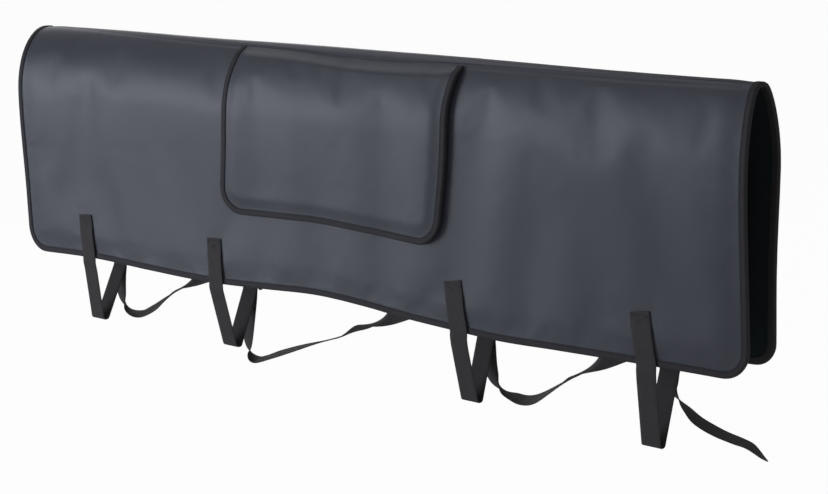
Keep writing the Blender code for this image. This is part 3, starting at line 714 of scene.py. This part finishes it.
def flat_grid(cut, step, opening=None, dense=()):
    """Flat points of a cut as rows of (x, t), and which cells between them are cloth.

    Dense levels are added where the cloth has a narrow crease.
    """
    levels = cut.rows(step)
    if len(dense):
        levels = [t for t in levels if not dense[0] < t < dense[-1]] + list(dense)
    if opening:
        levels = [t for t in levels if not opening.low - step < t < opening.high + step]
        levels += [*opening.rows(step), opening.low - step, opening.high + step]
    levels = merged(levels, LEAST_ROW)
    half = cut.half_at(levels)[:, None]
    if opening:
        hole = opening.half_at(levels)[:, None]
        many, few = int((cut.half - opening.half) / step), int(2 * opening.half / step)
        left = -half + (half - hole) * np.linspace(0, 1, many + 1)[None, :]
        middle = hole * np.linspace(-1, 1, few + 1)[None, 1:-1]
        x = np.concatenate([left, middle, -left[:, ::-1]], axis=1)
        cloth = np.ones((len(levels) - 1, x.shape[1] - 1), bool)
        inside = (levels[:-1] > opening.low - SAME) & (levels[1:] < opening.high + SAME)
        cloth[np.ix_(inside, np.arange(many, many + few))] = False
    else:
        x = half * np.linspace(-1, 1, int(2 * cut.half / step) + 1)[None, :]
        cloth = np.ones((len(levels) - 1, x.shape[1] - 1), bool)
    t = np.repeat(levels[:, None], x.shape[1], axis=1)
    return x + cut.middle, t, cloth


print("cells of a window cut at 20 mm:", int(flat_grid(panel, 20 * MM, window)[2].sum()))

# %% [markdown]
# A layer is the same grid at two depths, joined by a wall round every free
# edge, also round the window.  A Solidify modifier thickens a grid evenly, but
# here the foam is thin where it is pressed, so each face is laid by itself.

# %% Sheets
SHARP_EDGE = radians(50)


def new_mesh(name, vertices, faces, uv, material):
    """A smooth mesh with its faces pointing out, and one UV point for each vertex."""
    mesh = bpy.data.meshes.new(name)
    mesh.from_pydata(np.asarray(vertices).tolist(), [], faces)
    solid = bmesh.new()
    solid.from_mesh(mesh)
    bmesh.ops.recalc_face_normals(solid, faces=solid.faces)
    solid.to_mesh(mesh)
    solid.free()
    corners = np.empty(len(mesh.loops), int)
    mesh.loops.foreach_get("vertex_index", corners)
    mesh.uv_layers.new(name="cut").uv.foreach_set("vector", np.asarray(uv)[corners].ravel())
    mesh.shade_smooth()
    mesh.set_sharp_from_angle(angle=SHARP_EDGE)
    mesh.materials.append(material)
    made = bpy.data.objects.new(name, mesh)
    scene.collection.objects.link(made)
    return made


def sheet(name, cut, depths, material, step, opening=None, lay=hung, dense=()):
    """A closed layer: the cut at two depths, with a wall round every edge."""
    x, t, cloth = flat_grid(cut, step, opening, dense)
    rows, columns = x.shape
    index = np.arange(rows * columns).reshape(rows, columns)
    low, high = index[:-1, :-1], index[1:, 1:]
    cells = np.stack([low, index[:-1, 1:], high, index[1:, :-1]], axis=-1)[cloth]
    edges = set()
    for cell in cells.tolist():
        edges.update(zip(cell, cell[1:] + cell[:1]))
    count = rows * columns
    faces = (cells + count).tolist() + cells[:, ::-1].tolist()
    faces += [[a, b, b + count, a + count] for a, b in edges if (b, a) not in edges]
    points = np.concatenate([lay(x, t, depths[0]), lay(x, t, depths[1])])
    flat = np.stack([x.ravel(), t.ravel()], axis=-1)
    used = np.unique(np.array([corner for face in faces for corner in face]))
    renumber = np.full(2 * count, -1)
    renumber[used] = np.arange(len(used))
    faces = [[int(renumber[corner]) for corner in face] for face in faces]
    made = new_mesh(name, points[used], faces, np.concatenate([flat, flat])[used], material)
    print(name, len(faces), "faces")
    return made


def hand_over(piece, node):
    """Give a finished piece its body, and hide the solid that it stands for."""
    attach(piece, "root")
    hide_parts(node)


# %% [markdown]
# Tape, webbing and thread follow a path.  A closed or open path on the flat
# cut is swept with the tape's section: two legs and the round fold between
# them.  The sweep is done on the flat cut, where it is simple, and hung() then
# carries the tape to its place with everything under it.

# %% Paths on the flat cut
def outline(cut, step, closed=True):
    """The outline of a cut as an array (x, t), counter-clockwise from its left low corner.

    An open one goes down the left side, along the low end and up the right side.
    """
    half, low_radius, high_radius = cut.half, *cut.radii

    def arc(middle, radius, start):
        angles = np.linspace(start, start + pi / 2, max(2, int(radius * pi / 2 / step)))
        return np.array(middle) + radius * np.stack([np.cos(angles), np.sin(angles)], axis=-1)

    pieces = [arc((-half + low_radius, cut.low + low_radius), low_radius, pi),
              arc((half - low_radius, cut.low + low_radius), low_radius, 1.5 * pi)]
    if closed:
        pieces += [arc((half - high_radius, cut.high - high_radius), high_radius, 0),
                   arc((-half + high_radius, cut.high - high_radius), high_radius, pi / 2)]
        pieces.append(pieces[0][:1])
    else:
        pieces = [[(-half, cut.high)], *pieces, [(half, cut.high)]]
    corners = np.concatenate(pieces)
    path = []
    for start, end in zip(corners, corners[1:]):
        parts = max(1, round(np.linalg.norm(end - start) / step))
        path += [start + (end - start) * part / parts for part in range(parts)]
    if not closed:
        path.append(corners[-1])
    path = np.array(path)
    keep = np.linalg.norm(path - np.roll(path, 1, axis=0), axis=1) > CROWDED
    return path[keep] + [cut.middle, 0]


def inward_of(path, closed):
    """Unit vectors to the left of a path, on the flat cut."""
    if closed:
        way = np.roll(path, -1, axis=0) - np.roll(path, 1, axis=0)
    else:
        way = np.gradient(path, axis=0)
    way = unit(way)
    return np.stack([-way[:, 1], way[:, 0]], axis=-1)


PANEL_PATH_STEP, FINE_PATH_STEP = 4 * MM, 3 * MM
edge_path, window_path = outline(panel, PANEL_PATH_STEP), outline(window, FINE_PATH_STEP)[::-1]
print("points round the panel and the window:", len(edge_path), len(window_path))

# %% [markdown]
# The section of the tape is worked out as insets and depths, so one section
# fits every edge.  sweep() joins ring after ring, and serves the webbing too.

# %% Tape
LEG_STEPS, TURN_POINTS = 4, 7


def tape_section(depths):
    """Inset and depth of the folded tape, once round its outer and inner face."""
    under, over = depths[0] - FIT, depths[1] + FIT
    middle, rise = (under + over) / 2, (over - under) / 2
    legs = np.linspace(TAPE_LEG, -FIT, LEG_STEPS + 1)[:-1]
    turn = np.linspace(pi / 2, -pi / 2, TURN_POINTS)
    outer = [(inset, over + TAPE) for inset in legs]
    outer += [(-FIT - (TAPE_ROUND + TAPE) * cos(a), middle + (rise + TAPE) * sin(a)) for a in turn]
    outer += [(inset, under - TAPE) for inset in legs[::-1]]
    inner = [(inset, under) for inset in legs]
    inner += [(-FIT - TAPE_ROUND * cos(a), middle - rise * sin(a)) for a in turn]
    inner += [(inset, over) for inset in legs[::-1]]
    return np.array(outer + inner)


def sweep(name, rings, uv, closed, material):
    """A closed skin over rings of points: an array (rings, points, 3)."""
    count, size = rings.shape[:2]
    faces = []
    for ring in range(count if closed else count - 1):
        low, high = ring * size, (ring + 1) % count * size
        faces += [[low + side, high + side, high + (side + 1) % size, low + (side + 1) % size]
                  for side in range(size)]
    if not closed:
        faces += [list(range(size)), list(range((count - 1) * size, count * size))[::-1]]
    made = new_mesh(name, rings.reshape(-1, 3), faces, uv.reshape(-1, 2), material)
    print(name, len(faces), "faces")
    return made


def binding(name, path, closed, depths, lay=hung):
    """Tape folded over the edge that the path follows, with the cloth on its left."""
    section = tape_section(depths)
    inward = inward_of(path, closed)
    flat = path[:, None] + inward[:, None] * section[None, :, :1]
    d = np.broadcast_to(section[None, :, 1], flat.shape[:2])
    rings = lay(flat[..., 0], flat[..., 1], d).reshape(*flat.shape[:2], 3)
    run = np.cumsum(np.linalg.norm(np.diff(path, axis=0, prepend=path[:1]), axis=1))
    uv = np.stack(np.broadcast_arrays(run[:, None], section[None, :, 0]), axis=-1)
    return sweep(name, rings, uv, closed, TAPE_MATERIAL)


# %% [markdown]
# ## The panel
#
# Cover, foam and lining are cut alike.  The cover shows, so its mesh is the
# finest, with closer rows where the crest's seam creases it.  The foam is hidden
# between the other two, and it is the padded piece.

# %% Cover, foam, lining and tape
CREASE_LOW, CREASE_HIGH, CREASE_STEP = 22 * MM, 4 * MM, 1.2 * MM
COVER_STEP, LINING_STEP, FOAM_STEP = 5.4 * MM, 8 * MM, 12 * MM

crease_rows = np.arange(CREST_T - CREASE_LOW, CREST_T - CREASE_HIGH, CREASE_STEP)
cover = sheet("cover_hung", panel, COVER_D, CLOTH, COVER_STEP, window, dense=crease_rows)
foam = sheet("foam_hung", panel, FOAM_D, FOAM_MATERIAL, FOAM_STEP, window)
lining = sheet("lining_hung", panel, (0.0, LINING), FLEECE, LINING_STEP, window)
edge_tape = binding("edge_tape", edge_path, True, (0.0, STACK))
window_tape = binding("window_tape", window_path, True, (0.0, STACK))

hand_over(cover, "outer_cover")
hand_over(foam, "foam_core")
hand_over(lining, "lining")
hand_over(edge_tape, "edge_binding")
hand_over(window_tape, "window_binding")

# %% [markdown]
# ## The flap
#
# The flap is a smaller sandwich that hangs over the window from a seam below
# the crest.  At its seam the foam is pinched, and lower down it lies on the
# panel.  It was caught a little askew, so it hangs down at a slight slant.
# flap_hung() shifts, lifts and pinches it before hung() bends it.

# %% How the flap hangs
GRIP_THICKNESS = 1.2 * MM
FLAP_WIDTH, FLAP_DROP, FLAP_RADIUS = 425 * MM, 256 * MM, 42 * MM
FLAP_SEAM_DEPTH, FLAP_RISE, FLAP_PINCH, FLAP_TAPE_PINCH = 2 * MM, 14 * MM, 0.90, 0.45
FLAP_PRESS_WIDTH, SAG_REACH, WINDOW_REACH = 22 * MM, 70 * MM, 20 * MM
FLAP_LINING, FLAP_FOAM = 0.8 * MM, 5.0 * MM
FLAP_SKEW = ((0, .019), (.02, .014), (.045, .010), (.10, .008), (.14, .005), (.175, .001),
             (.21, -.003), (.25, -.004))
LOOP_D = (STACK + FIT, STACK + FIT + GRIP_THICKNESS)
HOOK_D = (LOOP_D[1] + FIT, LOOP_D[1] + FIT + GRIP_THICKNESS)
FLAP_LINING_D = (HOOK_D[1] + FIT, HOOK_D[1] + FIT + FLAP_LINING)
FLAP_FOAM_D = (FLAP_LINING_D[1] + FIT, FLAP_LINING_D[1] + FIT + FLAP_FOAM)
FLAP_COVER_D = (FLAP_FOAM_D[1] + FIT, FLAP_FOAM_D[1] + FIT + COVER)
FLAP_SEAM, FLAP_HEM = CREST_T - 10 * MM, CREST_T - FLAP_DROP

flap = Cut(FLAP_WIDTH - 2 * EDGE, FLAP_HEM + EDGE, FLAP_SEAM, FLAP_RADIUS - EDGE)
bound_edges = Cut(flap.half * 2, flap.low, FLAP_SEAM + FLAP_WIDTH, FLAP_RADIUS - EDGE)


def flap_hung(x, t, d):
    """hung() for the flap, caught in the crest's seam and pinched there and at its tape."""
    x, t, d = (value.ravel() for value in np.broadcast_arrays(x, t, d))
    below = FLAP_SEAM - t
    at_tape = 1 - ease((bound_edges.inset_of(x, t) - PRESS_START) / FLAP_PRESS_WIDTH)
    at_seam = 1 - ease((below - FLAP_SEAM_DEPTH) / FLAP_RISE)
    x = x + through(FLAP_SKEW, below)
    sag = CREST_T - through(SEAM_BACK, x) - FLAP_SEAM
    above = np.clip((d - FLAP_FOAM_D[0]) / FLAP_FOAM, 0, 1) * FLAP_FOAM
    pinch = np.maximum(FLAP_PINCH * at_seam, FLAP_TAPE_PINCH * at_tape)
    lift = FLAP_LINING_D[0] - STACK - 2 * FIT - TAPE
    level = t + sag * (1 - ease(below / SAG_REACH))
    over_window = COVER_SINK * pressed(x, level) * ease(below / WINDOW_REACH)
    return hung(x, level, d + over_window - lift * at_seam - above * pinch)


print("middle of the flap's hem hangs at", np.round(flap_hung(0, FLAP_HEM, STACK)[0], 4).tolist())

# %% [markdown]
# The flap is built like the panel, with finer steps on its cover.  Its tape is
# open: it runs round three sides, and both ends go into the seam.

# %% Flap
FLAP_STEP, FLAP_INNER_STEP = 4 * MM, 8 * MM

flap_path = outline(flap, FINE_PATH_STEP, closed=False)
flap_depths = (FLAP_LINING_D[0], FLAP_COVER_D[1])
flap_cover = sheet("flap_cover_hung", flap, FLAP_COVER_D, CLOTH, FLAP_STEP, lay=flap_hung)
flap_foam = sheet("flap_foam_hung", flap, FLAP_FOAM_D, FOAM_MATERIAL, FLAP_INNER_STEP,
                  lay=flap_hung)
flap_lining = sheet("flap_lining_hung", flap, FLAP_LINING_D, FLEECE, FLAP_INNER_STEP,
                    lay=flap_hung)
flap_tape = binding("flap_tape", flap_path, False, flap_depths, flap_hung)

hand_over(flap_cover, "flap_cover")
hand_over(flap_foam, "flap_foam")
hand_over(flap_lining, "flap_lining")
hand_over(flap_tape, "flap_binding")

# %% [markdown]
# Three strips of loop tape on the panel meet three of hook tape on the back of
# the flap, along its hem and its sides.  Both lie under the flap, so they keep
# the plain form of their solids and only follow the panel.

# %% Hook and loop strips
GRIP_WIDTH, GRIP_IN = 25 * MM, 18 * MM
GRIP_SIDE_LENGTH, GRIP_HEM_LENGTH = 90 * MM, 260 * MM
GRIP_STEP = 6 * MM

grip_low = FLAP_HEM + TAPE_LEG + GRIP_IN
side_low = grip_low + GRIP_WIDTH + GRIP_IN
side_middle = FLAP_WIDTH / 2 - TAPE_LEG - GRIP_IN
GRIP_CUTS = {
    "hem": Cut(GRIP_HEM_LENGTH, grip_low, grip_low + GRIP_WIDTH),
    "left": Cut(GRIP_WIDTH, side_low, side_low + GRIP_SIDE_LENGTH, middle=-side_middle),
    "right": Cut(GRIP_WIDTH, side_low, side_low + GRIP_SIDE_LENGTH, middle=side_middle),
}
for where, cut in GRIP_CUTS.items():
    for kind, depths in (("loop", LOOP_D), ("hook", HOOK_D)):
        strip = sheet("%s_strip_%s_hung" % (kind, where), cut, depths, GRIP, GRIP_STEP)
        hand_over(strip, "%s_strip_%s" % (kind, where))

# %% [markdown]
# ## Straps
#
# The solids already carry each strap's whole route: its sewn end, the loop
# under the tailgate, the way through the buckle and the free end.  That route
# is read back from the solid, ring by ring, and swept again with a fine,
# rounded webbing section.

# %% Read a ribbon's route from its solid
ROUTE_STEP, SAME_CORNER = 6 * MM, 0.01 * MM


def ribbon_route(node):
    """Ring centres of a swept ribbon, from its sewn end on, and unit vectors across it.

    The sewn end is the ring of four corners that lies highest and furthest out.
    """
    shape = bmesh.new()
    shape.from_mesh(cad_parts[node].data)
    bmesh.ops.remove_doubles(shape, verts=shape.verts, dist=SAME_CORNER)
    highest = sorted(shape.verts, key=lambda vertex: -vertex.co.z)[:8]
    ring = set(sorted(highest, key=lambda vertex: vertex.co.y)[:4])
    seen, rings = set(ring), []
    while ring:
        rings.append(np.array([vertex.co for vertex in ring]))
        ring = {edge.other_vert(vertex) for vertex in ring for edge in vertex.link_edges} - seen
        seen |= ring
    shape.free()
    centres, across = [], []
    for corners in rings:
        apart = np.linalg.norm(corners - corners[0], axis=1)
        near = apart < 0.5 * WEB_WIDTH
        one_edge, other_edge = corners[near].mean(axis=0), corners[~near].mean(axis=0)
        way = other_edge - one_edge
        if across and way @ across[-1] < 0 or not across and way[0] < 0:
            way = -way
        centres.append((one_edge + other_edge) / 2)
        across.append(way / np.linalg.norm(way))
    short_centres, short_across = [centres[0]], [across[0]]
    for start, end, way, next_way in zip(centres, centres[1:], across, across[1:]):
        parts = max(1, round(np.linalg.norm(end - start) / ROUTE_STEP))
        for share in np.arange(1, parts + 1) / parts:
            short_centres.append(start + (end - start) * share)
            short_across.append(way + (next_way - way) * share)
    return np.array(short_centres), np.array(short_across)


print("rings along the first strap:", len(ribbon_route("strap_1")[0]))

# %% [markdown]
# The sewn end follows the hung panel.  From the hem down to the bend under the
# tailgate the strap eases back to its own route.  Straps are sewn on by eye and
# webbing keeps a set from its packing, so each hangs its own way: its hem and
# its bend are moved by a few millimetres, and the free ends of the first three
# roll and rise towards the tip.  The fourth hangs straight.

# %% Hang the straps
BELOW_HEM, SEWN_RAMP = 6 * MM, 8 * MM
FRONT_HEM_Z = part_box("edge_binding")[0][2]
HEM_SHIFT = (.0045, -.0017, .008, .008)
BEND_SHIFT = (-.006, 0, .008, .005)
TAIL_ROLL = ((0, 0), (.55, 0), (.75, -.35), (.87, -.6), (.95, -.35), (1, -.2))
TAIL_LIFT = ((0, 0), (.8, 0), (.93, .005), (1, .007))


def bend_of(centres):
    """The ring at the bottom of the loop, after which the strap rises again."""
    return int(np.argmax(np.diff(centres[:, 2]) > SAME))


def as_hung(number, centres, across):
    """A strap's route with its loop and its free end as they hang in the photograph."""
    bend = bend_of(centres)
    bend_z = centres[bend, 2]
    buckle_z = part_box("buckle_%d" % number)[0][2]
    at_buckle = bend + int(np.argmax(centres[bend:, 2] > buckle_z))
    loop = slice(0, at_buckle)
    low = np.clip((buckle_z - centres[loop, 2]) / (buckle_z - bend_z), 0, 1)
    centres[loop, 1] += BEND_SHIFT[number - 1] * low
    outer = slice(0, bend)
    centres[outer, 0] += np.interp(centres[outer, 2], (bend_z, FRONT_HEM_Z, centres[0, 2]),
                                   (0, HEM_SHIFT[number - 1], TOP_SHIFT[number - 1]))
    tail = slice(at_buckle + int(np.argmax(centres[at_buckle:, 1])), len(centres))
    if number < len(STRAP_X):
        way = unit(np.gradient(centres[tail], axis=0))
        along = np.linspace(0, 1, len(way))
        roll = through(TAIL_ROLL, along)[:, None]
        centres[tail, 2] += through(TAIL_LIFT, along)
        across[tail] = across[tail] * np.cos(roll) + np.cross(way, across[tail]) * np.sin(roll)
    return centres, across


def along_hung_panel(centres, across):
    """The route with its outer arm moved onto the hung panel."""
    moved, turned = centres.copy(), across.copy()
    bend = bend_of(centres)
    bend_z = centres[bend, 2]
    hem_z = FRONT_HEM_Z - BELOW_HEM
    outer = slice(0, bend + 1)
    x, t = centres[outer, 0], centres[outer, 2] - FRONT_HEM_Z
    sewn = ease((t - ANCHOR_TOP + ANCHOR_SEWN) / SEWN_RAMP)
    d = STACK + FIT + WEB / 2 + (1 - sewn) * (TAPE + COVER_SINK * pressed(x, t))
    held = np.maximum(t, -BELOW_HEM)
    left, right = (hung(x + side * WEB_WIDTH / 2, held, d) for side in (-1, 1))
    share = np.clip((centres[outer, 2] - bend_z) / (hem_z - bend_z), 0, 1)[:, None]
    shift = (left + right) / 2 - centres[outer]
    shift[centres[outer, 2] < hem_z] = shift[centres[outer, 2] >= hem_z][-1]
    moved[outer] += shift * share
    turned[outer] = turned[outer] * (1 - share) + unit(right - left) * share
    return moved, turned


strap_routes = [along_hung_panel(*as_hung(number, *ribbon_route("strap_%d" % number)))
                for number in range(1, 5)]
print("tips of the straps:", [np.round(centres[-1], 3).tolist() for centres, _ in strap_routes])

# %% [markdown]
# Webbing has rounded edges, which catch a line of light.  The section is swept
# along the route with a short step, so that the turns round the buckles' bars
# stay round.  The buckles keep the frame's own meshes, which are already exact.

# %% Sweep the straps
RIBBON_STEP = 2.5 * MM
FLAT_POINTS, EDGE_POINTS = 7, 5


def ribbon(name, centres, across, thickness):
    """Webbing with rounded edges, swept along a route."""
    run = np.concatenate([[0], np.cumsum(np.linalg.norm(np.diff(centres, axis=0), axis=1))])
    places = np.concatenate([np.linspace(a, b, max(1, round((b - a) / RIBBON_STEP)),
                                         endpoint=False) for a, b in zip(run, run[1:])])
    places = np.append(places, run[-1])
    middle = smooth_through(run, centres, places)
    side = smooth_through(run, across, places)
    way = unit(np.gradient(middle, places, axis=0))
    side = unit(side - way * (side * way).sum(axis=1, keepdims=True))
    out = np.cross(way, side)
    half, edge = WEB_WIDTH / 2, thickness / 2
    flat = np.linspace(-1, 1, FLAT_POINTS) * (half - edge)
    turn = np.linspace(-pi / 2, pi / 2, EDGE_POINTS)[1:-1]
    section = [(u, -edge) for u in flat]
    section += [(half - edge * (1 - cos(a)), edge * sin(a)) for a in turn]
    section += [(u, edge) for u in flat[::-1]]
    section += [(-half + edge * (1 - cos(a)), -edge * sin(a)) for a in turn]
    section = np.array(section)
    rings = (middle[:, None] + side[:, None] * section[None, :, :1]
             + out[:, None] * section[None, :, 1:])
    uv = np.stack(np.broadcast_arrays(places[:, None], section[None, :, 0]), axis=-1)
    return sweep(name, rings, uv, False, WEBBING)


for number, route in enumerate(strap_routes, start=1):
    strap = ribbon("strap_%d_hung" % number, *route, WEB)
    tab = ribbon("tab_%d_hung" % number, *ribbon_route("buckle_tab_%d" % number), TAB_WEB)
    hand_over(strap, "strap_%d" % number)
    hand_over(tab, "buckle_tab_%d" % number)
    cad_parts["buckle_%d" % number].material_slots[0].material = ACETAL

# %% [markdown]
# ## Stitches
#
# Lockstitches show as short beads of thread in a row.  They are what repeats on
# this object, so Geometry Nodes lay them: the paths are plain edges, each path
# is resampled to the pitch, and a bead is set at every point along the path's
# direction.  Pitch, length and thickness are the tree's named inputs.  A bead
# is a sphere of 30 triangles, since there are some thousands of them.

# %% The stitch tree
def stitch_tree():
    tree = bpy.data.node_groups.new("stitch_row", "GeometryNodeTree")
    for name, kind in (("Path", "Geometry"), ("Pitch", "Float"), ("Length", "Float"),
                       ("Thickness", "Float"), ("Seed", "Int"), ("Thread", "Material")):
        tree.interface.new_socket(name, in_out="INPUT", socket_type="NodeSocket" + kind)
    tree.interface.new_socket("Stitches", in_out="OUTPUT", socket_type="NodeSocketGeometry")
    given = add(tree, "NodeGroupInput").outputs
    curve = add(tree, "GeometryNodeMeshToCurve", Mesh=given["Path"])
    spaced = add(tree, "GeometryNodeResampleCurve", {"mode": "LENGTH"}, Curve=curve.outputs[0],
                 Length=given["Pitch"])
    tangent = add(tree, "GeometryNodeInputTangent")
    turn = add(tree, "FunctionNodeAlignRotationToVector", {"axis": "X"}, Vector=tangent.outputs[0])
    uneven = add(tree, "FunctionNodeRandomValue", {"data_type": "FLOAT"}, _2=0.85, _3=1.1,
                 Seed=given["Seed"])
    length = add(tree, "ShaderNodeMath", {"operation": "MULTIPLY"}, _0=given["Length"],
                 _1=uneven.outputs[1])
    size = add(tree, "ShaderNodeCombineXYZ", X=length.outputs[0], Y=given["Thickness"],
               Z=given["Thickness"])
    bead = add(tree, "GeometryNodeMeshUVSphere", Segments=5, Rings=4, Radius=0.5)
    placed = add(tree, "GeometryNodeInstanceOnPoints", Points=spaced.outputs[0],
                 Instance=bead.outputs[0], Rotation=turn.outputs[0], Scale=size.outputs[0])
    real = add(tree, "GeometryNodeRealizeInstances", Geometry=placed.outputs[0])
    smooth = add(tree, "GeometryNodeSetShadeSmooth", Geometry=real.outputs[0])
    painted = add(tree, "GeometryNodeSetMaterial", Geometry=smooth.outputs[0],
                  Material=given["Thread"])
    add(tree, "NodeGroupOutput", _0=painted.outputs[0])
    return tree


STITCH_TREE = stitch_tree()
print("nodes of the stitch tree:", len(STITCH_TREE.nodes))

# %% [markdown]
# The tree's inputs are set by their identifiers before the rows are evaluated.
# The evaluated object becomes a plain mesh, because the export drops modifiers
# and instances.

# %% Rows of stitches
PITCH, BEAD, THREAD_THICKNESS = 4.2 * MM, 3.0 * MM, 0.75 * MM


def stitches(name, rows, pitch=PITCH, length=BEAD, seed=1):
    """Beads of thread along rows of points, as one plain mesh."""
    edges, first = [], 0
    for row in rows:
        edges += [(first + step, first + step + 1) for step in range(len(row) - 1)]
        first += len(row)
    mesh = bpy.data.meshes.new(name)
    mesh.from_pydata(np.concatenate(rows).tolist(), edges, [])
    thread = bpy.data.objects.new(name, mesh)
    scene.collection.objects.link(thread)
    modifier = thread.modifiers.new("stitches", "NODES")
    modifier.node_group = STITCH_TREE
    given = {"Pitch": pitch, "Length": length, "Thickness": THREAD_THICKNESS, "Seed": seed,
             "Thread": THREAD}
    for socket in STITCH_TREE.interface.items_tree:
        if socket.name in given:
            modifier[socket.identifier] = given[socket.name]
    graph = bpy.context.evaluated_depsgraph_get()
    made = bpy.data.meshes.new_from_object(thread.evaluated_get(graph))
    thread.modifiers.remove(modifier)
    thread.data = made
    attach(thread, "root")
    print(name, len(made.polygons), "faces")


# %% [markdown]
# A tape is sewn through near the inner edge of its legs, so a row shows on both
# sides.  Just above the crest's seam a topstitch holds the turned cloth.

# %% Stitches of the tapes and the crest
IN_FROM_LEG, ABOVE_SEAM = 1.6 * MM, 4 * MM
CREST_END, CREST_STEP = 14 * MM, 4 * MM


def row_on(path, inset, d, closed, lay=hung):
    """A row of points beside a path on the flat cut, laid at a depth."""
    flat = path + inward_of(path, closed) * inset
    if closed:
        flat = np.concatenate([flat, flat[:1]])
    return lay(flat[:, 0], flat[:, 1], d)


for name, path, closed, depths, lay in (
        ("edge_stitches", edge_path, True, (0.0, STACK), hung),
        ("window_stitches", window_path, True, (0.0, STACK), hung),
        ("flap_stitches", flap_path, False, flap_depths, flap_hung)):
    faces_of_tape = (depths[1] + FIT + TAPE, depths[0] - FIT - TAPE)
    stitches(name, [row_on(path, TAPE_LEG - IN_FROM_LEG, d, closed, lay) for d in faces_of_tape])
crest_x = np.arange(-END + CREST_END, END - CREST_END, CREST_STEP)
seam_t = CREST_T - through(SEAM_BACK, crest_x)
stitches("crest_stitches", [hung(crest_x, seam_t + ABOVE_SEAM, STACK)])

# %% [markdown]
# The sewn end of each strap has a box with a cross in it, which is the usual way
# to fasten webbing that takes a load.  Its stitches are shorter.

# %% Sewn boxes of the straps
BOX_IN, BOX_PITCH, BOX_BEAD = 2.5 * MM, 2.6 * MM, 2.0 * MM


def box_rows(corners):
    """Rows of points round a sewn box and across it, from its four corners in space."""
    a, b, c, d = (np.array(corner) for corner in corners)
    share = np.linspace(0, 1, 9)[:, None]
    return [start * (1 - share) + end * share
            for start, end in ((a, b), (b, c), (c, d), (d, a), (a, c), (b, d))]


for number, x in enumerate(ANCHOR_X, start=1):
    left, right = x - WEB_WIDTH / 2 + BOX_IN, x + WEB_WIDTH / 2 - BOX_IN
    top, bottom = ANCHOR_TOP - BOX_IN, ANCHOR_TOP - ANCHOR_SEWN + BOX_IN
    corners = hung((left, right, right, left), (top, top, bottom, bottom), STACK + FIT + WEB)
    stitches("strap_stitches_%d" % number, box_rows(corners), BOX_PITCH, BOX_BEAD,
             number)

# %% [markdown]
# ## Floor, world and light
#
# The photograph has a white ground and one broad soft light from the left,
# which gives the coated cloth its sheen there.  The floor lies well below the
# pad.  To the camera it is nearly all light of its own, so no shadow greys it.

# %% Floor
FLOOR_Z, FLOOR_SIZE = -0.90, 60
OWN_LIGHT = 0.97


def stage_floor():
    mesh = bpy.data.meshes.new("floor")
    half = FLOOR_SIZE / 2
    mesh.from_pydata([(x, y, FLOOR_Z) for x, y in ((-half, -half), (half, -half), (half, half),
                                                    (-half, half))], [], [[0, 1, 2, 3]])
    material, tree, shader = new_material("painted_floor", Roughness=0.9,
                                          Base_Color=linear("#f4f4f4"), Specular_IOR_Level=0.1)
    rays = add(tree, "ShaderNodeLightPath")
    white = add(tree, "ShaderNodeEmission", Color=(1, 1, 1, 1), Strength=1.0)
    share = add(tree, "ShaderNodeMath", {"operation": "MULTIPLY"}, _0=rays.outputs["Is Camera Ray"],
                _1=OWN_LIGHT)
    both = add(tree, "ShaderNodeMixShader", _0=share.outputs[0], _1=shader.outputs[0],
               _2=white.outputs[0])
    tree.links.new(both.outputs[0], tree.nodes["Material Output"].inputs[0])
    mesh.materials.append(material)
    floor = bpy.data.objects.new("floor", mesh)
    scene.collection.objects.link(floor)


stage_floor()
print("floor %.2f m below the crest" % -FLOOR_Z)

# %% [markdown]
# Square area lamps make soft edges, and each is turned to face a point of the
# pad.  The large one on the left is the photograph's light.  The others only
# open up the shadows, on top, on the right and behind.

# %% Lamps
COOL = (0.92, 0.97, 1.10)


def area_light(name, place, aim, size, power, colour=(1, 1, 1)):
    """A square lamp at a place, turned to face a point: metres and watts."""
    lamp = bpy.data.lights.new(name, "AREA")
    lamp.size = size
    lamp.energy = power
    lamp.color = colour
    holder = bpy.data.objects.new(name, lamp)
    holder.location = place
    holder.rotation_mode = "QUATERNION"
    holder.rotation_quaternion = (Vector(aim) - Vector(place)).to_track_quat("-Z", "Y")
    scene.collection.objects.link(holder)


area_light("left_softbox", (-3.65, -3.55, 0.0), (-0.3, 0, -0.2), 2.2, 80, COOL)
area_light("top_softbox", (-1.4, -0.2, 2.0), (-0.3, 0, -0.1), 1.6, 7)
area_light("right_fill", (2.8, -1.6, 0.4), (0.2, 0, -0.2), 1.6, 2)
area_light("rear_fill", (-3.0, 1.9, 1.1), (0, 0, -0.1), 2.2, 15)
print("lamps:", len(bpy.data.lights))

# %% [markdown]
# The world is white where the camera sees it, and only a dim fill for the pad.
# The Standard view keeps the colours as they were matched to the photograph.

# %% World
FILL = 0.20

world = bpy.data.worlds.new("studio")
world.use_nodes = True
scene.world = world
tree = world.node_tree
tree.nodes.clear()
rays = add(tree, "ShaderNodeLightPath")
fill = add(tree, "ShaderNodeBackground", Color=(1, 1, 1, 1), Strength=FILL)
ground = add(tree, "ShaderNodeBackground", Color=(1, 1, 1, 1), Strength=1.0)
mix = add(tree, "ShaderNodeMixShader", _0=rays.outputs["Is Camera Ray"], _1=fill.outputs[0],
          _2=ground.outputs[0])
add(tree, "ShaderNodeOutputWorld", _0=mix.outputs[0])
scene.view_settings.view_transform = "Standard"
print("fill light:", FILL)
